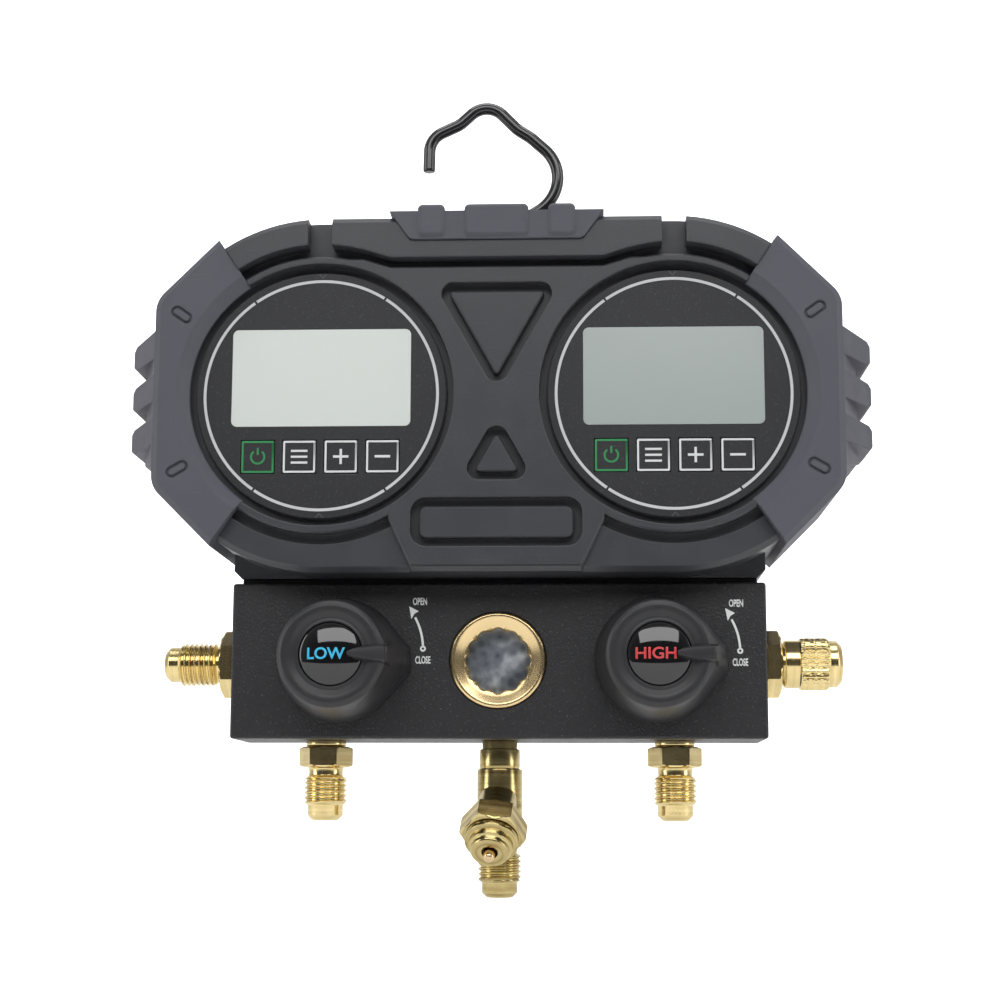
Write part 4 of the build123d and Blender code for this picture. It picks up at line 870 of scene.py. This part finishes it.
CAP_AT = 5.3
KNURL_TURNS = 26
KNURL_DEEP = 0.42
KNURL_LEAD = 2.9
KNURL_R = 6.7
KNURL_ENDS = (4.05, 11.25)


def knurl(radius, height, angle):
    """Two crossed sets of V grooves: depth times the nearer of |2 frac(N a / 2 pi +- h / lead) - 1|."""
    wind = KNURL_TURNS * angle / (2 * np.pi)
    rise = height / KNURL_LEAD
    right = np.abs(2 * ((wind + rise) % 1.0) - 1)
    left = np.abs(2 * ((wind - rise) % 1.0) - 1)
    groove = np.clip(1.35 * np.maximum(right, left) - 0.35, 0, 1) ** 1.2
    first, last = CAP_AT + KNURL_ENDS[0], CAP_AT + KNURL_ENDS[1]
    band = np.clip((height - first) / 0.4, 0, 1) * np.clip((last - height) / 0.4, 0, 1)
    return np.where(radius > 6.2, radius - KNURL_DEEP * groove * band, radius)


cap_profile = [(4.7, 6.0), (5.65, 5.8), (5.65, 0.35), (5.75, 0.0), (5.95, 0.0), (6.2, 0.35), (6.2, 3.75),
               (6.35, 3.9), (KNURL_R, 4.25), (KNURL_R, 11.05), (6.35, 11.4), (6.05, 11.45), (6.05, 13.4),
               (4.9, 14.7), (0.0, 14.7)]
cap_profile = eased(np.array(cap_profile) + [0, CAP_AT], 0.2)
rows = np.arange(CAP_AT + 4.4, CAP_AT + 10.95, 0.1)
where = int(np.argmax((cap_profile[:, 1] > CAP_AT + 10.9) & (cap_profile[:, 0] > KNURL_R - 0.1)))
cap_profile = np.concatenate([[(0.0, CAP_AT + 6.0)], cap_profile[:where],
                              np.stack([0 * rows + KNURL_R, rows], -1), cap_profile[where:]])
cap = placed(turned(cap_profile, 416, knurl), (SIDE_FACE_X, 0, axis_z), (0, 0, -1), (0, 1, 0), (1, 0, 0))
piece("port_cap", [cap], "cap", bright_brass, ["flare_cap"])

# ----------------------------------------
# Tee: a brass street tee under the block. Its run ends in a flare port for the charging
# hose, and a spanner-flatted branch at 45 degrees holds the sprung access pin.
# ----------------------------------------

TEE_L = 39.6
BRANCH_DROP = 12.9
BRANCH_L = 21.9
BRANCH_LEAN, BRANCH_YAW = 45.0, 7.0
BRANCH_HEX = 14.6
MOUTH_R = 1.95
MOUTH_FLOOR = 10.6
PIN_R = 1.45
PIN_OUT = 2.2
run_profile = [(BORE_R, 0.02), (4.5, 0.02), (4.5, 2.1), (5.2, 2.25), (5.2, 6.6), (5.05, 7.1), (5.8, 7.3),
               (5.8, 26.0), (5.5, 26.9), (NECK_R, 27.1), (NECK_R, 28.3), (THREAD_R, 29.1), (THREAD_R, 35.2),
               (NOSE_R, 35.8)]
run = fitting(run_profile, TEE_L, 0.02, (29.2, 35.1), (28.8, 35.5))
run = placed(run, (0, 0, block_foot_z), *DOWN)
lean, yaw = math.radians(BRANCH_LEAN), math.radians(BRANCH_YAW)
outward = np.array([-math.sin(lean) * math.sin(yaw), -math.sin(lean) * math.cos(yaw), -math.cos(lean)])
sideways = np.array([1.0, 0.0, -outward[0] / outward[2]])
sideways /= np.linalg.norm(sideways)
BRANCH_WAYS = (sideways, np.cross(outward, sideways), outward)
branch_root = (0, 0, block_foot_z - BRANCH_DROP)
hexed = BRANCH_HEX * HEX_CORNER
branch_profile = [(0.0, 0.0), (5.0, 0.1), (5.0, 9.9), (6.9, 10.2), (hexed, 10.75), (hexed, 16.0), (6.9, 16.6),
                  (5.6, 16.65), (5.6, 16.9), (6.8, 17.0), (6.8, 18.3), (5.55, 18.5), (5.55, 20.1),
                  (4.9, 20.3), (4.9, BRANCH_L - 0.45), (4.5, BRANCH_L), (2.4, BRANCH_L),
                  (MOUTH_R, BRANCH_L - 0.3), (MOUTH_R, MOUTH_FLOOR), (0.0, MOUTH_FLOOR)]
branch = turned(eased(branch_profile, 0.2), cut=cutter([(10.0, 16.62, BRANCH_HEX)]))
branch = placed(branch, branch_root, *BRANCH_WAYS)
piece("access_tee", [run, branch], "manifold", warm_brass, ["tee_body"])
pin_top = BRANCH_L + PIN_OUT
pin_profile = eased([(0.0, 12.5), (PIN_R, 12.5), (PIN_R, pin_top - 0.7), (PIN_R - 0.4, pin_top - 0.1),
                     (0.0, pin_top)], 0.25)
piece("access_stem", [placed(turned(pin_profile, 48), branch_root, *BRANCH_WAYS)],
      "access_pin", copper_tip, ["depressor_pin"])

# ----------------------------------------
# Works inside: circuit boards, cells, sensors, stems and screws, which show only where
# the housing is open or from behind.
# ----------------------------------------

steel_plate = brass("zinc_plate", (0.60, 0.60, 0.58), (0.48, 0.48, 0.47), 0.28)
green_board = skin("green_board", (0.010, 0.075, 0.035), (0.016, 0.10, 0.045), 0.4, 0.05, grain=400.0)
cell_sleeve = skin("cell_sleeve", (0.03, 0.03, 0.035), (0.05, 0.05, 0.055), 0.35, 0.05, grain=600.0)
ptfe_white = skin("ptfe_white", (0.75, 0.75, 0.73), (0.82, 0.82, 0.80), 0.45, 0.05, grain=700.0)
inner_coats = {"battery_cells": cell_sleeve, "valve_seats": ptfe_white, "cap_seal": seal_rubber}
for node in ("hook_nut", "hook_collar", "key_switches", "battery_cover_screws", "housing_screws",
             "mount_screws", "pin_spring"):
    inner_coats[node] = steel_plate
for side in ("low_", "high_"):
    inner_coats |= {side + "circuit_board": green_board, side + "stem_ring": seal_rubber,
                    side + "bonnet": bright_brass, side + "valve_stem": bright_brass,
                    side + "pressure_sensor": steel_plate, side + "knob_screw": steel_plate,
                    side + "lcd": panes["low"]}
for node, coat in inner_coats.items():
    cover(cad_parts[node], coat)

# ----------------------------------------
# Studio: a white paper sweep, a wide soft box in front and above, one overhead and one
# at each side, and air that is darker in front of the part than behind it.
# ----------------------------------------

SWEEP_FRONT = -0.45
SWEEP_TOP = 1.6

def paper_sweep(depth, drop, width, bend):
    """Floor that curves up into a backdrop: a flat run, a quarter circle of radius `bend`, a wall."""
    a = np.linspace(0, np.pi / 2, 24)
    y = np.concatenate([[SWEEP_FRONT], depth - bend + bend * np.sin(a), [depth]])
    z = np.concatenate([[drop], drop + bend * (1 - np.cos(a)), [SWEEP_TOP]])
    points = np.stack([np.stack([0 * y + x, y, z], -1) for x in (-width, width)], 1)
    faces, _ = grid_faces(len(y), 2, wrap_columns=False)
    mesh = bpy.data.meshes.new("paper_sweep")
    mesh.from_pydata(points.reshape(-1, 3).tolist(), [], faces.tolist())
    mesh.shade_smooth()
    return bpy.data.objects.new("paper_sweep", mesh)


sweep = paper_sweep(0.75, -0.245, 2.4, 0.4)
scene.collection.objects.link(sweep)
paper, paper_tree, paper_shader = coated("studio_paper")
paper_shader.inputs["Base Color"].default_value = (0.80, 0.80, 0.80, 1)
paper_shader.inputs["Roughness"].default_value = 0.9
paper_shader.inputs["Emission Color"].default_value = (1, 1, 1, 1)
seen = add(paper_tree, "ShaderNodeLightPath").outputs["Is Camera Ray"]
paper_tree.links.new(ranged(paper_tree, seen, 0.22, 1.0), paper_shader.inputs["Emission Strength"])
cover(sweep, paper)


def soft_box(name, place, aim, wide, tall, power):
    """A rectangular area light that faces a point of the set."""
    light = bpy.data.lights.new(name, "AREA")
    light.shape = "RECTANGLE"
    light.size, light.size_y, light.energy = wide, tall, power
    obj = bpy.data.objects.new(name, light)
    scene.collection.objects.link(obj)
    obj.location = place
    x, y, z = np.array(aim, float) - np.array(place, float)
    obj.rotation_euler = (math.atan2(math.hypot(x, y), -z), 0, math.atan2(y, x) - math.pi / 2)


soft_box("key_box", (0.05, -0.86, 0.50), (0, 0, -0.1), 1.30, 0.46, 6.8)
soft_box("overhead_box", (0.0, -0.10, 0.90), (0, 0, -0.1), 0.9, 0.5, 4.2)
soft_box("left_box", (-0.95, -0.30, 0.0), (0, 0, -0.12), 0.35, 1.0, 3.2)
soft_box("right_box", (0.95, -0.25, 0.10), (0, 0, -0.12), 0.35, 1.0, 2.8)
world = bpy.data.worlds.new("studio_air")
world.use_nodes = True
air = world.node_tree
way = add(air, "ShaderNodeTexCoord").outputs["Generated"]
split = add(air, "ShaderNodeSeparateXYZ", {"Vector": way})
dim = add(air, "ShaderNodeMapRange", {"Value": split.outputs["Y"], "From Min": -0.9, "From Max": 0.1,
                                      "To Min": 0.06, "To Max": 0.50}, interpolation_type="SMOOTHSTEP")
plain = add(air, "ShaderNodeLightPath").outputs["Is Camera Ray"]
shown = maths(air, "MAXIMUM", dim.outputs["Result"], plain)
air.links.new(shown, air.nodes["Background"].inputs["Strength"])
air.nodes["Background"].inputs["Color"].default_value = (1, 1, 1, 1)
scene.world = world
scene.view_settings.view_transform = "Standard"
scene.view_settings.look = "None"

# Camera: its focal length for a frame 36 mm wide, and its place by angles and distance
# from the point that it looks at.
SENSOR = 36.0
FOCUS = 1.951948 * SENSOR
YAW, PITCH, ROLL, FAR = math.radians(2.43), math.radians(9.44), math.radians(0.139), 0.5139
VIEW_CENTRE = np.array([0.0, 0.0, -0.106])
camera = bpy.data.cameras.new("view_camera")
camera.sensor_width = SENSOR
camera.lens = FOCUS
eye = bpy.data.objects.new("view_camera", camera)
scene.collection.objects.link(eye)
back_way = np.array([math.sin(YAW) * math.cos(PITCH), -math.cos(YAW) * math.cos(PITCH), -math.sin(PITCH)])
right = np.cross(-back_way, [0, 0, 1.0])
right /= np.linalg.norm(right)
up = np.cross(right, -back_way)
right, up = (math.cos(ROLL) * right + math.sin(ROLL) * up, math.cos(ROLL) * up - math.sin(ROLL) * right)
turn = np.eye(4)
turn[:3] = np.stack([right, up, back_way, VIEW_CENTRE + FAR * back_way], 1)
eye.matrix_world = Matrix(turn.tolist())
scene.camera = eye

bpy.context.view_layer.update()
